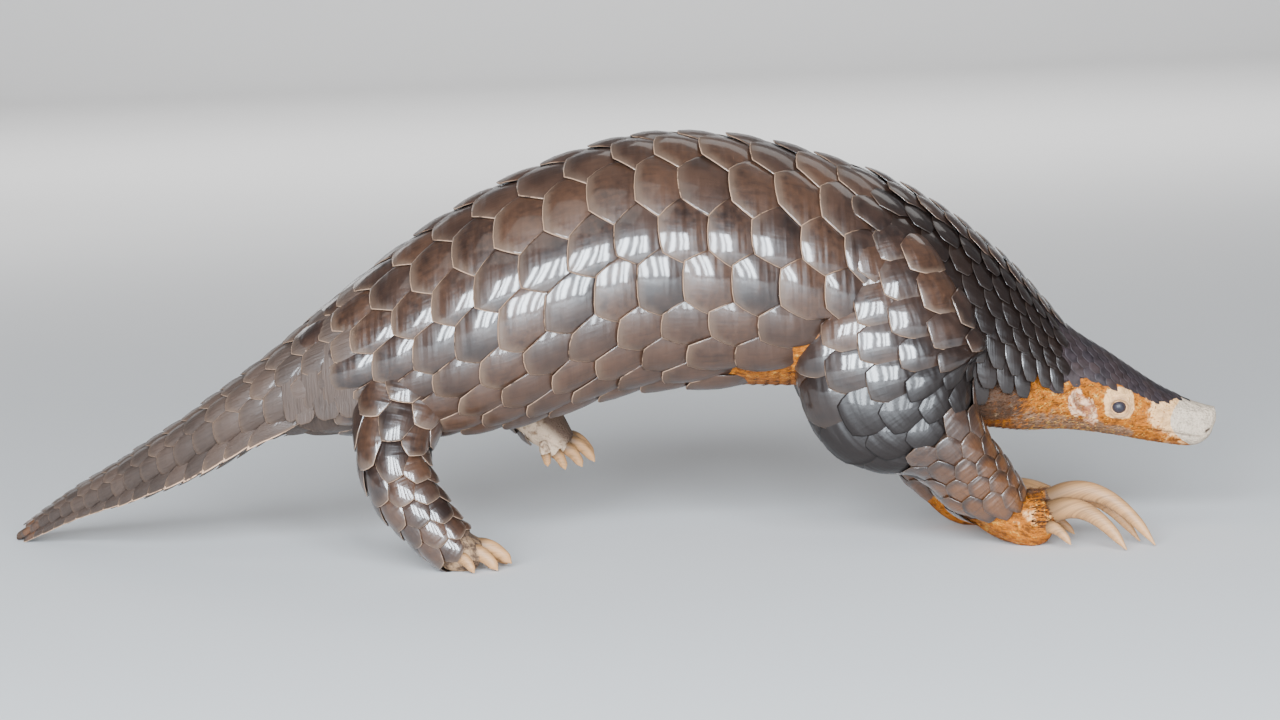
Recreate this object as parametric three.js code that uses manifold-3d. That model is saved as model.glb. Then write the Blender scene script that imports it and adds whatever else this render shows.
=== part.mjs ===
// A pangolin walking with its back arched and its head low, as a still, life-size model.
// Millimetres, +Z up, +X to the head, +Y to the animal's left.
// The forms are laid out with X = 0 near the middle of the body, and the whole is then set
// with the origin on the floor under the middle of its box.

import * as THREE from 'three';
import { mergeVertices } from 'three/addons/utils/BufferGeometryUtils.js';
import Module from 'manifold-3d';

const wasm = await Module();
wasm.setup();

// Driving dimensions

// Each ring is x, y, z of its centre, half height, half width, and the length of a scute there.
const BODY_RINGS = [
  [-410, 130, 2.6, 4.5, 6, 14],
  [-370, 101, 25, 8.5, 15, 18],
  [-325, 70, 46, 13.5, 23, 21],
  [-280, 38, 70, 17.5, 30, 24],
  [-236, 14, 97, 23, 36, 26],
  [-190, 2, 120, 37.5, 42, 28],
  [-140, 0, 136.8, 57.3, 57, 29.5],
  [-80, 0, 155.8, 72.2, 73, 29.5],
  [0, 0, 177.8, 75.4, 77, 29.5],
  [70, 0, 175.2, 74.2, 74, 29.5],
  [133, 0, 163, 68, 65, 28],
  [184, 0, 141, 65.4, 54, 23],
  [228, 0, 118.3, 51.7, 40, 17],
  [262, 0, 98.5, 33.5, 29, 14],
  [290, 0, 86, 25.5, 23.5, 13],
  [320, 0, 72, 18, 16.5, 13],
  [340, 0, 65.6, 14.2, 13, 13],
  [350, 0, 66, 10.2, 10.5, 13],
  [354.5, 0, 69.5, 5.5, 7, 13],
];
const BELLY_SQUARENESS = 2.6;

// Legs from the toes up into the body: x, y, z of a ring's centre, half its depth from front to
// back (in a foot, half its height), half its width across the animal, and the length of a scute.
const FRONT_LEG_RINGS = [
  [245, -43, 16, 11, 17, 12],
  [238, -44, 16, 17.2, 19, 12],
  [222, -45, 19, 18, 17, 13],
  [203, -48, 39, 22, 19, 16],
  [184, -50, 64, 25.5, 22, 20],
  [157, -51, 98, 54, 24, 25],
  [147, -45, 150, 48, 24, 28],
  [138, -30, 192, 36, 19, 28],
];
const HIND_LEG_RINGS = [
  [-103, -58, 10, 9, 14, 12],
  [-113, -59, 12, 13.8, 15, 12],
  [-123, -60, 19.5, 15, 15, 14],
  [-135, -60, 34, 16.5, 15, 16],
  [-146, -57, 50, 18.5, 16, 18],
  [-152, -51, 74, 20, 17, 20],
  [-143, -37, 112, 28, 17, 26],
  [-130, -28, 150, 28, 15, 26],
];
const LIFTED_LEG_RINGS = [
  [-51, 60, 59.5, 9, 11, 12],
  [-62, 60, 71, 14, 12, 13],
  [-76, 60, 86, 16, 13, 15],
  [-96, 57, 104, 20, 16, 18],
  [-117, 50, 122, 30, 20, 24],
  [-130, 38, 150, 30, 18, 26],
];
const FAR_FRONT_SHIFT = -28;
const FAR_FRONT_TOP = 100;
const FAR_CLAW_DROP = 0.78;
const FAR_CLAW_REACH = 0.84;

// Claws: x, y, z of the root and of the tip, and the height of the claw at its root.
const FRONT_CLAWS = [
  [244, -60, 13, 256, -71, 3.5, 7.5],
  [247, -54, 21, 288, -84, 1.2, 13.5],
  [249, -43.2, 27.5, 307, -71, 1.2, 13.5],
  [248, -32.6, 26, 300, -54, 1.2, 11],
  [244, -25, 14, 263, -29, 3, 7],
];
const HIND_CLAWS = [
  [-113, -71.5, 10, -105, -77, 1.2, 6.5],
  [-106, -66.5, 12.5, -91, -71, 1.2, 8.5],
  [-102, -59, 14, -83, -61, 3.5, 9],
  [-102, -50.5, 12, -86, -49.5, 1.2, 8],
  [-108, -44, 9.5, -96, -40, 1.2, 6.5],
];
const LIFTED_CLAWS = [
  [-45.7, 62, 60, -31.5, 63, 46.5, 7],
  [-49.5, 55.5, 57, -39.5, 56, 44.5, 7],
  [-55.5, 50.5, 54.5, -50, 50.5, 44, 6],
  [-45.5, 69, 62, -32, 72, 49, 6.5],
  [-62, 46.5, 54.5, -61, 46, 47, 5],
];

// Scutes: heights over the skin of the raised free edge, its corners' neighbours and the root edge.
const SCUTE_LIFT = 3.2;
const SCUTE_MIDDLE = 0.5;
const SCUTE_ROOT = 0.5;
const SCUTE_CROWN = 0.8;
const SCUTE_TIP = 1.06;
const SCUTE_BULGE = 0.14;
const SCUTE_SUNK = 8.5;
const SCUTE_SPREAD = 0.12;
const SCUTE_STRAY = 0.05;
const SCUTE_SLOPE = 0.14;
const BODY_ROWS = 16;
const TAIL_ROWS = 10;
const TAIL_SCUTE = 1.12;
const LEG_ROWS = 8;
const LEG_ROW_LIMIT = 2;
const LEG_COVER = 0.64;
const TAIL_END = 5;
const TAIL_EDGE = -205;
const RUMP_END = -150;
const FLANK_END = 40;
const NECK_END = 235;
const CORE_UNDER = 5;
const CORE_SHARE = 0.28;
const BARE_START = 12.7;
const COAT_END = 13.3;
const BODY_SIDES = 18;
const CORE_PITCH = 0.6;
const LEG_SIDES = 10;
const FEATURE_SIDES = 14;

// Gaps, cuts and the head's features.
const GAP = 0.3;
const NECK_CUT = { at: [203, 0, 130], facing: [0.984, 0, 0.178] };
const HEAD_CUT = { at: [255, 0, 98], facing: [0.972, 0, 0.233] };
const WAIST_CUT = { at: [20, 0, 170], facing: [1, 0, 0] };
const TAIL_CUT_RINGS = [4.9, 2.4];
const EYE = [293.6, 18.6, 77.7];
const EYE_RADIUS = 5;
const LID_CENTRE = [293.4, 18.4, 80];
const LID_SIZE = [10, 6.4, 10.4];
const LID_OUTER = 5.3;
const LID_INNER = 3.5;
const LID_DEPTH = 9;
const LID_OFFSET = 6.5;
const EAR = [270, 23.5, 80];
const EAR_SIZE = [9.5, 6, 11];
const EAR_LEAN = -15;
const EAR_HOLLOW = 0.72;
const EAR_MOUTH = [1.6, 4.5, 0.4];
const MOUTH_CORNER = [310, 64.6];
const MOUTH_FALL = 0.23;
const MOUTH_SLOT = 0.9;
const MOUTH_DEPTH = 2;
const LIP_START = 14.5;
const LIP_BAND = 3.6;
const LIP_PROUD = 0.8;
const SNOUT_START = 15.2;
const SNOUT_ROOM = 6;
const NOSE_CUT = { at: [331, 0, 60], facing: [1, 0, 0] };
const NOSTRIL = [352, 4.2, 61];
const NOSTRIL_SIZE = [5, 1.3, 1.6];
const LARGE_BALL = [10, 6];
const SMALL_BALL = [8, 6];
const NOSTRIL_BALL = [6, 4];
const TIDY = 0.05;
const CLAW_BOW = 0.1;
const CLAW_BOW_GROWTH = 0.0021;
const CLAW_RINGS = 3;
const CLAW_SIDES = 6;
const CLAW_TAPER = 0.62;
const CLAW_TIP = 0.5;
const CLAW_WIDTH = 0.72;
const TOE_GAP = 1.2;
const TOE_SIZE = 0.66;
const TOE_LENGTH = 1.5;
const TOE_WIDTH = 0.85;
const ANKLE_RING = 1.6;

// Colours of the sub-parts.
const SCALE_BROWN = 0x5c4c42;
const TAIL_GREY = 0x6b6258;
const SKIN_OCHRE = 0xc98a3d;
const LEG_BROWN = 0x5a4a41;
const CLAW_CREAM = 0xc9b999;
const NOSE_GREY = 0xb9b6aa;
const EAR_PINK = 0xb98f78;
const EYE_DARK = 0x14100e;

// Numbers and small tools

function seeded(seed) {
  let state = seed;
  return () => {
    state = (Math.imul(state, 1664525) + 1013904223) >>> 0;
    return state / 4294967296;
  };
}

function blend(values, place) {
  const last = values.length - 1;
  const start = Math.min(Math.max(Math.floor(place), 0), last - 1);
  const f = place - start;
  const b = values[start];
  const c = values[start + 1];
  const a = start > 0 ? values[start - 1] : 2 * b - c;
  const d = start + 2 <= last ? values[start + 2] : 2 * c - b;
  return b + 0.5 * f * (c - a + f * (2 * a - 5 * b + 4 * c - d + f * (3 * (b - c) + d - a)));
}

// The angle on an ellipse at a share of its quarter's length, measured from the end of its height.
function quarterAngle(high, wide, share) {
  const steps = 16;
  const lengths = [0];
  for (let i = 1; i <= steps; i += 1) {
    const middle = ((i - 0.5) / steps) * (Math.PI / 2);
    lengths.push(lengths[i - 1] + Math.hypot(wide * Math.cos(middle), high * Math.sin(middle)));
  }
  const wanted = share * lengths[steps];
  let i = 1;
  while (i < steps && lengths[i] < wanted) i += 1;
  const part = (wanted - lengths[i - 1]) / (lengths[i] - lengths[i - 1]);
  return ((i - 1 + part) / steps) * (Math.PI / 2);
}

// The far front foot stands further back than the near one, under the same shoulder.
function farShift(z) {
  return FAR_FRONT_SHIFT * Math.max(0, 1 - z / FAR_FRONT_TOP);
}

function farLeg(rows) {
  return rows.map(([x, y, z, ...sizes]) => [x + farShift(z), -y, z, ...sizes]);
}

function farClaws(claws) {
  return claws.map(([x, y, z, tipX, tipY, tipZ, thick]) => {
    const shift = farShift(z);
    const reach = (end, start) => start + FAR_CLAW_REACH * (end - start);
    return [x + shift, -y, z * FAR_CLAW_DROP, reach(tipX, x) + shift, -reach(tipY, y), tipZ, thick];
  });
}

// A form: rings of elliptic section along a line. A turn of 0 is its outer middle, 1 its opposite.

class Form {
  constructor(rings, outward, { upright = false, squareness = 2 } = {}) {
    this.columns = rings[0].map((_, k) => rings.map((ring) => ring[k]));
    this.last = rings.length - 1;
    this.outward = new THREE.Vector3(...outward);
    this.upright = upright;
    this.squareness = squareness;
  }

  size(place, column) {
    return blend(this.columns[column], place);
  }

  centre(place) {
    return new THREE.Vector3(this.size(place, 0), this.size(place, 1), this.size(place, 2));
  }

  heading(place) {
    const reach = 0.05;
    return this.centre(place + reach).sub(this.centre(place - reach)).normalize();
  }

  scuteLength(place) {
    return this.size(place, 5);
  }

  point(place, turn, lift = 0) {
    const heading = this.heading(place);
    const side = this.outward.clone().cross(heading).normalize();
    const up = this.upright ? this.outward.clone() : heading.clone().cross(side);
    const high = this.size(place, 3);
    const wide = this.size(place, 4);
    const quarters = Math.abs(turn) * 2;
    const near = quarters <= 1;
    const quarter = quarterAngle(high, wide, near ? quarters : 2 - quarters);
    const angle = near ? quarter : Math.PI - quarter;
    const power = near ? 1 : 2 / this.squareness;
    const rise = Math.sign(Math.cos(angle)) * Math.abs(Math.cos(angle)) ** power;
    const reach = Math.sign(turn) * Math.sin(angle) ** power;
    const facing = new THREE.Vector2(reach / wide, rise / high).normalize();
    return this.centre(place)
      .addScaledVector(side, wide * reach + lift * facing.x)
      .addScaledVector(up, high * rise + lift * facing.y);
  }

  // Places one scute length apart, from one end of the form to the other.
  steps(from, to, stretch) {
    const places = [from];
    let place = from;
    while (place < to) {
      const reach = 0.05;
      const speed = this.centre(place + reach).distanceTo(this.centre(place - reach)) / (2 * reach);
      place += stretch * this.scuteLength(place) / speed;
      places.push(place);
    }
    return places;
  }
}

// Solids

function solidOf(geometry) {
  const bare = geometry.clone();
  bare.deleteAttribute('normal');
  bare.deleteAttribute('uv');
  const merged = mergeVertices(bare, 1e-4);
  return new wasm.Manifold(new wasm.Mesh({
    numProp: 3,
    vertProperties: new Float32Array(merged.attributes.position.array),
    triVerts: new Uint32Array(merged.index.array),
  }));
}

function solidFrom(points, triangles) {
  const geometry = new THREE.BufferGeometry().setFromPoints(points);
  geometry.setIndex(triangles);
  return solidOf(geometry);
}

function geometryOf(solid) {
  const mesh = solid.getMesh();
  const geometry = new THREE.BufferGeometry();
  geometry.setAttribute('position', new THREE.BufferAttribute(mesh.vertProperties, 3));
  geometry.setIndex(new THREE.BufferAttribute(mesh.triVerts, 1));
  const flat = geometry.toNonIndexed();
  flat.computeVertexNormals();
  return flat;
}

function joined(solids) {
  return solids.reduce((whole, piece) => whole.add(piece));
}

function largest(solid) {
  return solid.decompose().reduce((best, piece) => (piece.volume() > best.volume() ? piece : best));
}

// The side of a plane that its facing points to, less half the gap.
function beyond(solid, plane, sign = 1) {
  const facing = new THREE.Vector3(...plane.facing).normalize().multiplyScalar(sign);
  const offset = facing.dot(new THREE.Vector3(...plane.at)) + GAP / 2;
  return solid.trimByPlane(facing.toArray(), offset);
}

function before(solid, plane) {
  return beyond(solid, plane, -1);
}

function aboveFloor(solid) {
  return solid.trimByPlane([0, 0, 1], 0);
}

function loft(form, from, to, { sides, pitch, lift = () => 0 }) {
  const rings = Math.max(2, Math.ceil((to - from) / pitch) + 1);
  const points = [];
  const triangles = [];
  for (let r = 0; r < rings; r += 1) {
    const place = from + ((to - from) * r) / (rings - 1);
    for (let s = 0; s < sides; s += 1) {
      const turn = (2 * s) / sides - 1;
      points.push(form.point(place, turn, lift(place, turn)));
    }
  }
  for (let r = 0; r < rings - 1; r += 1) {
    for (let s = 0; s < sides; s += 1) {
      const a = r * sides + s;
      const b = r * sides + ((s + 1) % sides);
      triangles.push(a, a + sides, b + sides, a, b + sides, b);
    }
  }
  const start = points.push(form.centre(from)) - 1;
  const end = points.push(form.centre(to)) - 1;
  const lastRing = (rings - 1) * sides;
  for (let s = 0; s < sides; s += 1) {
    const next = (s + 1) % sides;
    triangles.push(start, s, next, end, lastRing + next, lastRing + s);
  }
  return solidFrom(points, triangles);
}

function ellipsoid(centre, size, [around, rows]) {
  const geometry = new THREE.SphereGeometry(1, around, rows);
  geometry.scale(...size);
  geometry.translate(...centre);
  return solidOf(geometry);
}

// How far the flesh lies under the roots of the scutes.
function underCoat(form, place) {
  return -Math.min(CORE_UNDER, CORE_SHARE * Math.min(form.size(place, 3), form.size(place, 4)));
}

// A coat of scutes. Each scute is a six-sided plate whose root edge is sunk under its
// neighbours ahead and whose free edge, towards the start of the form, stands over those behind.
// The plates share a sunk underside inside the form, so that they fuse with it.

class Coat {
  constructor(form, from, to, { rows, grows, round, seed, stretch = 1 }) {
    this.form = form;
    this.places = form.steps(from, to, stretch);
    this.rows = rows;
    this.grows = grows;
    this.round = round;
    this.random = seeded(seed);
    this.points = [];
    this.triangles = [];
    this.corners = new Map();
    this.scutes = new Map();
    this.lay();
    this.cover();
  }

  // Columns are counted in half scutes and rows in thirds of a row, so that every corner has whole numbers.
  key(column, row) {
    const around = this.rows * 3;
    return `${column},${((row % around) + around) % around}`;
  }

  place(column) {
    const middle = column / 2;
    const first = Math.min(Math.max(Math.floor(middle), 0), this.places.length - 2);
    const start = this.places[first];
    return start + (this.places[first + 1] - start) * (middle - first);
  }

  lay() {
    const half = this.rows / 2;
    for (let row = 1 - half; row <= half; row += 1) {
      const stagger = row % 2 === 0 ? 0 : 1;
      for (let column = 2 + stagger; column < 2 * this.places.length - 4; column += 2) {
        const place = this.place(column);
        if (!this.grows(this.form.centre(place), row)) continue;
        const height = SCUTE_LIFT * (1 + SCUTE_SPREAD * (2 * this.random() - 1));
        const lift = Math.min(height, SCUTE_SLOPE * this.form.scuteLength(place));
        this.scutes.set(this.key(column, row * 3), { column, row: row * 3, lift, levels: new Map() });
      }
    }
  }

  corner(column, row, bulge = 0) {
    const key = this.key(column, row);
    if (!this.corners.has(key)) {
      const stray = SCUTE_STRAY * (2 * this.random() - 1);
      const place = this.place(column - 2 * bulge + stray);
      const around = (row + stray) / (3 * this.rows) * 2;
      this.corners.set(key, { place, turn: ((around + 3) % 2) - 1, levels: [], vertices: new Map() });
    }
    return this.corners.get(key);
  }

  vertex(corner, height) {
    const name = height.toFixed(4);
    if (!corner.vertices.has(name)) {
      corner.vertices.set(name, this.points.push(this.form.point(corner.place, corner.turn, height)) - 1);
    }
    return corner.vertices.get(name);
  }

  sunk(corner) {
    const slim = Math.min(this.form.size(corner.place, 3), this.form.size(corner.place, 4));
    return -Math.min(SCUTE_SUNK, 0.5 * slim);
  }

  // The points round a scute, anticlockwise from outside, from the root edge. Each has its height
  // and the step from the scute to the one over the edge that starts there. The free edge and the
  // root edge under it have a point more where the scutes are round.
  outline({ column, row, lift }) {
    const middle = lift * SCUTE_MIDDLE;
    const rim = [
      { corner: this.corner(column + 1, row - 1), height: SCUTE_ROOT, over: [2, 0] },
      { corner: this.corner(column + 1, row + 1), height: SCUTE_ROOT, over: [1, 3] },
      { corner: this.corner(column, row + 2), height: middle, over: [-1, 3], free: true },
      { corner: this.corner(column - 1, row + 1), height: lift, over: [-2, 0], free: true },
      { corner: this.corner(column - 1, row - 1), height: lift, over: [-1, -3], free: true },
      { corner: this.corner(column, row - 2), height: middle, over: [1, -3] },
    ];
    if (this.round) {
      const free = this.corner(column - 1, row, SCUTE_BULGE);
      const root = this.corner(column + 1, row, SCUTE_BULGE);
      rim.splice(4, 0, { corner: free, height: lift * SCUTE_TIP, over: [-2, 0], free: true });
      rim.splice(1, 0, { corner: root, height: SCUTE_ROOT, over: [2, 0] });
    }
    return rim;
  }

  cover() {
    for (const scute of this.scutes.values()) {
      scute.rim = this.outline(scute);
      for (const { corner, height } of scute.rim) {
        scute.levels.set(corner, height);
        corner.levels.push(height);
      }
    }
    for (const scute of this.scutes.values()) {
      this.coverTop(scute);
      this.coverSunk(scute);
      scute.rim.forEach((start, k) => {
        const end = scute.rim[(k + 1) % scute.rim.length];
        const beside = this.scutes.get(this.key(scute.column + start.over[0], scute.row + start.over[1]));
        if (!beside || start.free) this.wall(start, end, beside);
      });
    }
  }

  coverTop({ column, row, lift, rim }) {
    const names = rim.map(({ corner, height }) => this.vertex(corner, height));
    if (!this.round) {
      for (let k = 1; k < names.length - 1; k += 1) this.triangles.push(names[0], names[k], names[k + 1]);
      return;
    }
    const turn = (((row / (3 * this.rows)) * 2 + 3) % 2) - 1;
    const top = this.form.point(this.place(column), turn, (lift + SCUTE_ROOT) / 2 + SCUTE_CROWN);
    const peak = this.points.push(top) - 1;
    names.forEach((name, k) => this.triangles.push(peak, name, names[(k + 1) % names.length]));
  }

  coverSunk({ rim }) {
    const names = rim.map(({ corner }) => this.vertex(corner, this.sunk(corner)));
    for (let k = 1; k < names.length - 1; k += 1) this.triangles.push(names[0], names[k + 1], names[k]);
  }

  // The vertices down one end of a wall, past any other scute's level on the way.
  drop(corner, high, low) {
    const between = corner.levels.filter((height) => height < high && height > low);
    const heights = new Set([high, ...between.sort((a, b) => b - a), low]);
    return [...heights].map((height) => this.vertex(corner, height));
  }

  wall(start, end, beside) {
    const [near, far] = [start, end].map(({ corner, height }) => {
      return this.drop(corner, height, beside ? beside.levels.get(corner) : this.sunk(corner));
    });
    let n = 0;
    let f = 0;
    while (n < near.length - 1 || f < far.length - 1) {
      if (n < near.length - 1 && (f === far.length - 1 || n <= f)) {
        this.triangles.push(near[n], near[n + 1], far[f]);
        n += 1;
      } else {
        this.triangles.push(near[n], far[f + 1], far[f]);
        f += 1;
      }
    }
  }

  solid() {
    return solidFrom(this.points, this.triangles);
  }
}

// Body: one form from the tail's tip to the nose, with its coat.

const body = new Form(BODY_RINGS, [0, 0, 1], { upright: true, squareness: BELLY_SQUARENESS });

function bodyRowLimit(x) {
  if (x < RUMP_END) return 7;
  if (x < FLANK_END) return 6;
  if (x < NECK_END) return 5;
  return 4;
}

const bodyCoat = new Coat(body, TAIL_END - 0.5, COAT_END, {
  rows: BODY_ROWS,
  grows: (centre, row) => centre.x > TAIL_EDGE && Math.abs(row) <= bodyRowLimit(centre.x),
  round: true,
  seed: 5,
});
const tailCoat = new Coat(body, 0.1, TAIL_END + 0.6, {
  rows: TAIL_ROWS,
  grows: () => true,
  round: false,
  stretch: TAIL_SCUTE,
  seed: 6,
});
function bodyBare(place, turn) {
  const covered = (bodyRowLimit(body.size(place, 0)) + 0.5) / (BODY_ROWS / 2);
  return place > BARE_START || (place > TAIL_END && Math.abs(turn) > covered);
}

const trunkCore = loft(body, 0, body.last, {
  sides: BODY_SIDES,
  pitch: CORE_PITCH,
  lift: (place, turn) => (bodyBare(place, turn) ? 0 : underCoat(body, place)),
});
const trunk = joined([trunkCore, tailCoat.solid(), bodyCoat.solid()]);

// Legs: each a form from the toes up into the body, with a coat on its outer side.

function leg(rings, outward, cut, seed) {
  const form = new Form(rings.map(([x, y, z, deep, wide, scute]) => [x, y, z, wide, deep, scute]), outward);
  const core = loft(form, 0, form.last, {
    sides: LEG_SIDES,
    pitch: CORE_PITCH,
    lift: (place, turn) => (place > ANKLE_RING && Math.abs(turn) < LEG_COVER ? underCoat(form, place) : 0),
  });
  const coat = new Coat(form, ANKLE_RING - 0.6, form.last - 0.1, {
    rows: LEG_ROWS,
    grows: (centre, row) => Math.abs(row) <= LEG_ROW_LIMIT,
    round: false,
    seed,
  });
  return { form, coat, whole: core.add(coat.solid()), cut };
}

const FRONT_CUT = { at: [157, 0, 82], facing: [-0.26, 0, -0.966] };
const HIND_CUT = { at: [-150, 0, 73.5], facing: [0, 0, -1] };
const LIFTED_CUT = { at: [-72, 60, 88], facing: [0.68, 0, -0.73] };

const legs = {
  front_right: leg(FRONT_LEG_RINGS, [0, -1, 0], FRONT_CUT, 11),
  front_left: leg(farLeg(FRONT_LEG_RINGS), [0, 1, 0], FRONT_CUT, 12),
  hind_right: leg(HIND_LEG_RINGS, [0, -1, 0], HIND_CUT, 13),
  hind_left: leg(LIFTED_LEG_RINGS, [0, 1, 0], LIFTED_CUT, 14),
};
const claws = {
  front_right: FRONT_CLAWS,
  front_left: farClaws(FRONT_CLAWS),
  hind_right: HIND_CLAWS,
  hind_left: LIFTED_CLAWS,
};

// Claws: a bowed horn that starts at its toe and narrows to a blunt tip.

function clawBow(length) {
  return length * (CLAW_BOW + CLAW_BOW_GROWTH * length);
}

function clawForm([x, y, z, tipX, tipY, tipZ, thick]) {
  const root = new THREE.Vector3(x, y, z);
  const tip = new THREE.Vector3(tipX, tipY, tipZ);
  const bend = root.clone().lerp(tip, 0.5);
  bend.z += 2 * clawBow(root.distanceTo(tip));
  const curve = new THREE.QuadraticBezierCurve3(root, bend, tip);
  const rings = [];
  for (let k = 0; k <= CLAW_RINGS; k += 1) {
    const along = k / CLAW_RINGS;
    const half = (thick / 2) * (1 - along) ** CLAW_TAPER + CLAW_TIP;
    rings.push([...curve.getPoint(along).toArray(), half, half * CLAW_WIDTH]);
  }
  return new Form(rings, [0, 0, 1]);
}

function clawSolid(claw) {
  const form = clawForm(claw);
  return loft(form, 0, form.last, { sides: CLAW_SIDES, pitch: 1 });
}

// The room a claw needs in its foot, with the gap all round.
function clawRoom(claw) {
  const form = clawForm(claw);
  const back = GAP / form.centre(0).distanceTo(form.centre(1));
  return loft(form, -back, form.last, { sides: CLAW_SIDES, pitch: 1, lift: () => GAP });
}

// A toe: a knuckle that swells from inside the foot and ends in a flat face against its claw.
function toeSolid(claw) {
  const thick = claw[6];
  const claws = clawForm(claw);
  const along = claws.heading(0);
  const face = claws.centre(0).addScaledVector(along, -TOE_GAP * GAP);
  const half = thick * TOE_SIZE;
  const rings = [[TOE_LENGTH, 0.7], [TOE_LENGTH / 2, 1], [0, 0.84]].map(([back, share]) => {
    const centre = face.clone().addScaledVector(along, -back * thick);
    return [...centre.toArray(), half * share, half * share * TOE_WIDTH];
  });
  const form = new Form(rings, [0, 0, 1]);
  return loft(form, 0, form.last, { sides: CLAW_SIDES, pitch: 1 });
}

function footSolid(name) {
  const { whole, ankle } = legs[name];
  const foot = before(joined([whole, ...claws[name].map(toeSolid)]), ankle);
  return foot.subtract(joined(claws[name].map(clawRoom)));
}

// Head: lids round each eye, lips along the mouth, the slot of the mouth, and the eyes' sockets.

function slab(thick) {
  const geometry = new THREE.BoxGeometry(70, 80, thick);
  geometry.translate(35, 0, 0);
  geometry.rotateY(MOUTH_FALL);
  geometry.translate(MOUTH_CORNER[0], 0, MOUTH_CORNER[1]);
  return solidOf(geometry);
}

function onSide([x, y, z], side) {
  return [x, side * y, z];
}

function eyeBall(side, radius) {
  return ellipsoid(onSide(EYE, side), [radius, radius, radius], SMALL_BALL);
}

function lidOpening(side) {
  const opening = new THREE.CylinderGeometry(LID_OUTER, LID_INNER, LID_DEPTH, SMALL_BALL[0]);
  opening.rotateX((side * Math.PI) / 2);
  opening.translate(...onSide([EYE[0], EYE[1] + LID_OFFSET, EYE[2]], side));
  return solidOf(opening);
}

function headSolid(blank) {
  const grid = { sides: FEATURE_SIDES, pitch: 0.7 };
  const proud = loft(body, LIP_START, body.last, { ...grid, lift: () => LIP_PROUD });
  const inner = loft(body, LIP_START - 0.5, body.last - 0.5, { ...grid, lift: () => -MOUTH_DEPTH });
  const lids = [1, -1].map((side) => ellipsoid(onSide(LID_CENTRE, side), LID_SIZE, LARGE_BALL));
  const sockets = [1, -1].flatMap((side) => [eyeBall(side, EYE_RADIUS + GAP), lidOpening(side)]);
  return joined([blank, slab(LIP_BAND).intersect(proud), ...lids])
    .subtract(joined(sockets))
    .subtract(slab(MOUTH_SLOT).subtract(inner));
}

function earShape(side, spare) {
  const sizes = EAR_SIZE.map((size) => size + spare);
  return ellipsoid([0, 0, 0], sizes, LARGE_BALL).rotate([0, EAR_LEAN, 0]).translate(onSide(EAR, side));
}

function earSolid(side) {
  const hollow = ellipsoid(onSide(EAR_MOUTH, side), EAR_SIZE.map((size) => size * EAR_HOLLOW), SMALL_BALL);
  return earShape(side, 0).subtract(hollow.rotate([0, EAR_LEAN, 0]).translate(onSide(EAR, side)));
}

// The sub-parts

const group = new THREE.Group();

function addNode(name, solid, colour, roughness = 0.5) {
  const material = new THREE.MeshStandardMaterial({ color: colour, roughness, metalness: 0 });
  const mesh = new THREE.Mesh(geometryOf(largest(aboveFloor(solid)).simplify(TIDY)), material);
  mesh.name = name;
  group.add(mesh);
}

const bodyWithHips = joined([trunk, ...Object.values(legs).map((item) => before(item.whole, item.cut))]);

function ringPlane(form, place) {
  return { at: form.centre(place).toArray(), facing: form.heading(place).toArray() };
}

const tailCuts = TAIL_CUT_RINGS.map((place) => ringPlane(body, place));
addNode('tail_base', beyond(before(bodyWithHips, tailCuts[0]), tailCuts[1]), TAIL_GREY);
addNode('tail_end', before(bodyWithHips, tailCuts[1]), TAIL_GREY);
addNode('torso_rear', before(beyond(bodyWithHips, tailCuts[0]), WAIST_CUT), SCALE_BROWN, 0.35);
addNode('torso_front', before(beyond(bodyWithHips, WAIST_CUT), NECK_CUT), SCALE_BROWN, 0.35);
addNode('neck', before(beyond(bodyWithHips, NECK_CUT), HEAD_CUT), SCALE_BROWN);

const wholeHead = headSolid(beyond(trunk, HEAD_CUT));
const mouthPlane = {
  at: [MOUTH_CORNER[0], 0, MOUTH_CORNER[1]],
  facing: [Math.sin(MOUTH_FALL), 0, Math.cos(MOUTH_FALL)],
};
const lowered = (plane, x, z) => ({ ...plane, at: [plane.at[0] - x, 0, plane.at[2] - z] });
const nostrils = [1, -1].map((side) => ellipsoid(onSide(NOSTRIL, side), NOSTRIL_SIZE, NOSTRIL_BALL));
const snout = beyond(beyond(wholeHead, NOSE_CUT), mouthPlane);
addNode('nose', snout.subtract(joined(nostrils)), NOSE_GREY, 0.6);
const snoutBlock = loft(body, SNOUT_START, body.last, { sides: 8, pitch: 2, lift: () => SNOUT_ROOM });
const snoutRoom = beyond(beyond(snoutBlock, lowered(NOSE_CUT, GAP, 0)), lowered(mouthPlane, 0, GAP));
const earRooms = [1, -1].map((side) => earShape(side, GAP));
addNode('head', wholeHead.subtract(joined([snoutRoom, ...earRooms])), SKIN_OCHRE, 0.7);
for (const [name, side] of [['right', -1], ['left', 1]]) {
  addNode(`eye_${name}`, eyeBall(side, EYE_RADIUS), EYE_DARK, 0.1);
  addNode(`ear_${name}`, earSolid(side), EAR_PINK, 0.7);
}

const bodyRoom = loft(body, 5, 15, {
  sides: BODY_SIDES,
  pitch: 0.5,
  lift: (place, turn) => (bodyBare(place, turn) ? 2 * GAP : SCUTE_LIFT * (1 + SCUTE_SPREAD) + 2 * GAP),
});
for (const [name, item] of Object.entries(legs)) {
  const below = beyond(item.whole, item.cut).subtract(bodyRoom);
  const [pair, side] = name.split('_');
  item.ankle = ringPlane(item.form, ANKLE_RING);
  const above = beyond(below, item.ankle);
  addNode(`${pair}_leg_${side}`, above, LEG_BROWN);
  addNode(`${pair}_foot_${side}`, footSolid(name), LEG_BROWN, 0.6);
  claws[name].forEach((claw, k) => {
    addNode(`${pair}_claw_${side}_${k + 1}`, clawSolid(claw), CLAW_CREAM, 0.4);
  });
}

const box = new THREE.Box3().setFromObject(group);
const middle = box.getCenter(new THREE.Vector3());
group.position.set(-middle.x, -middle.y, -box.min.z);

export default group;
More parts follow.
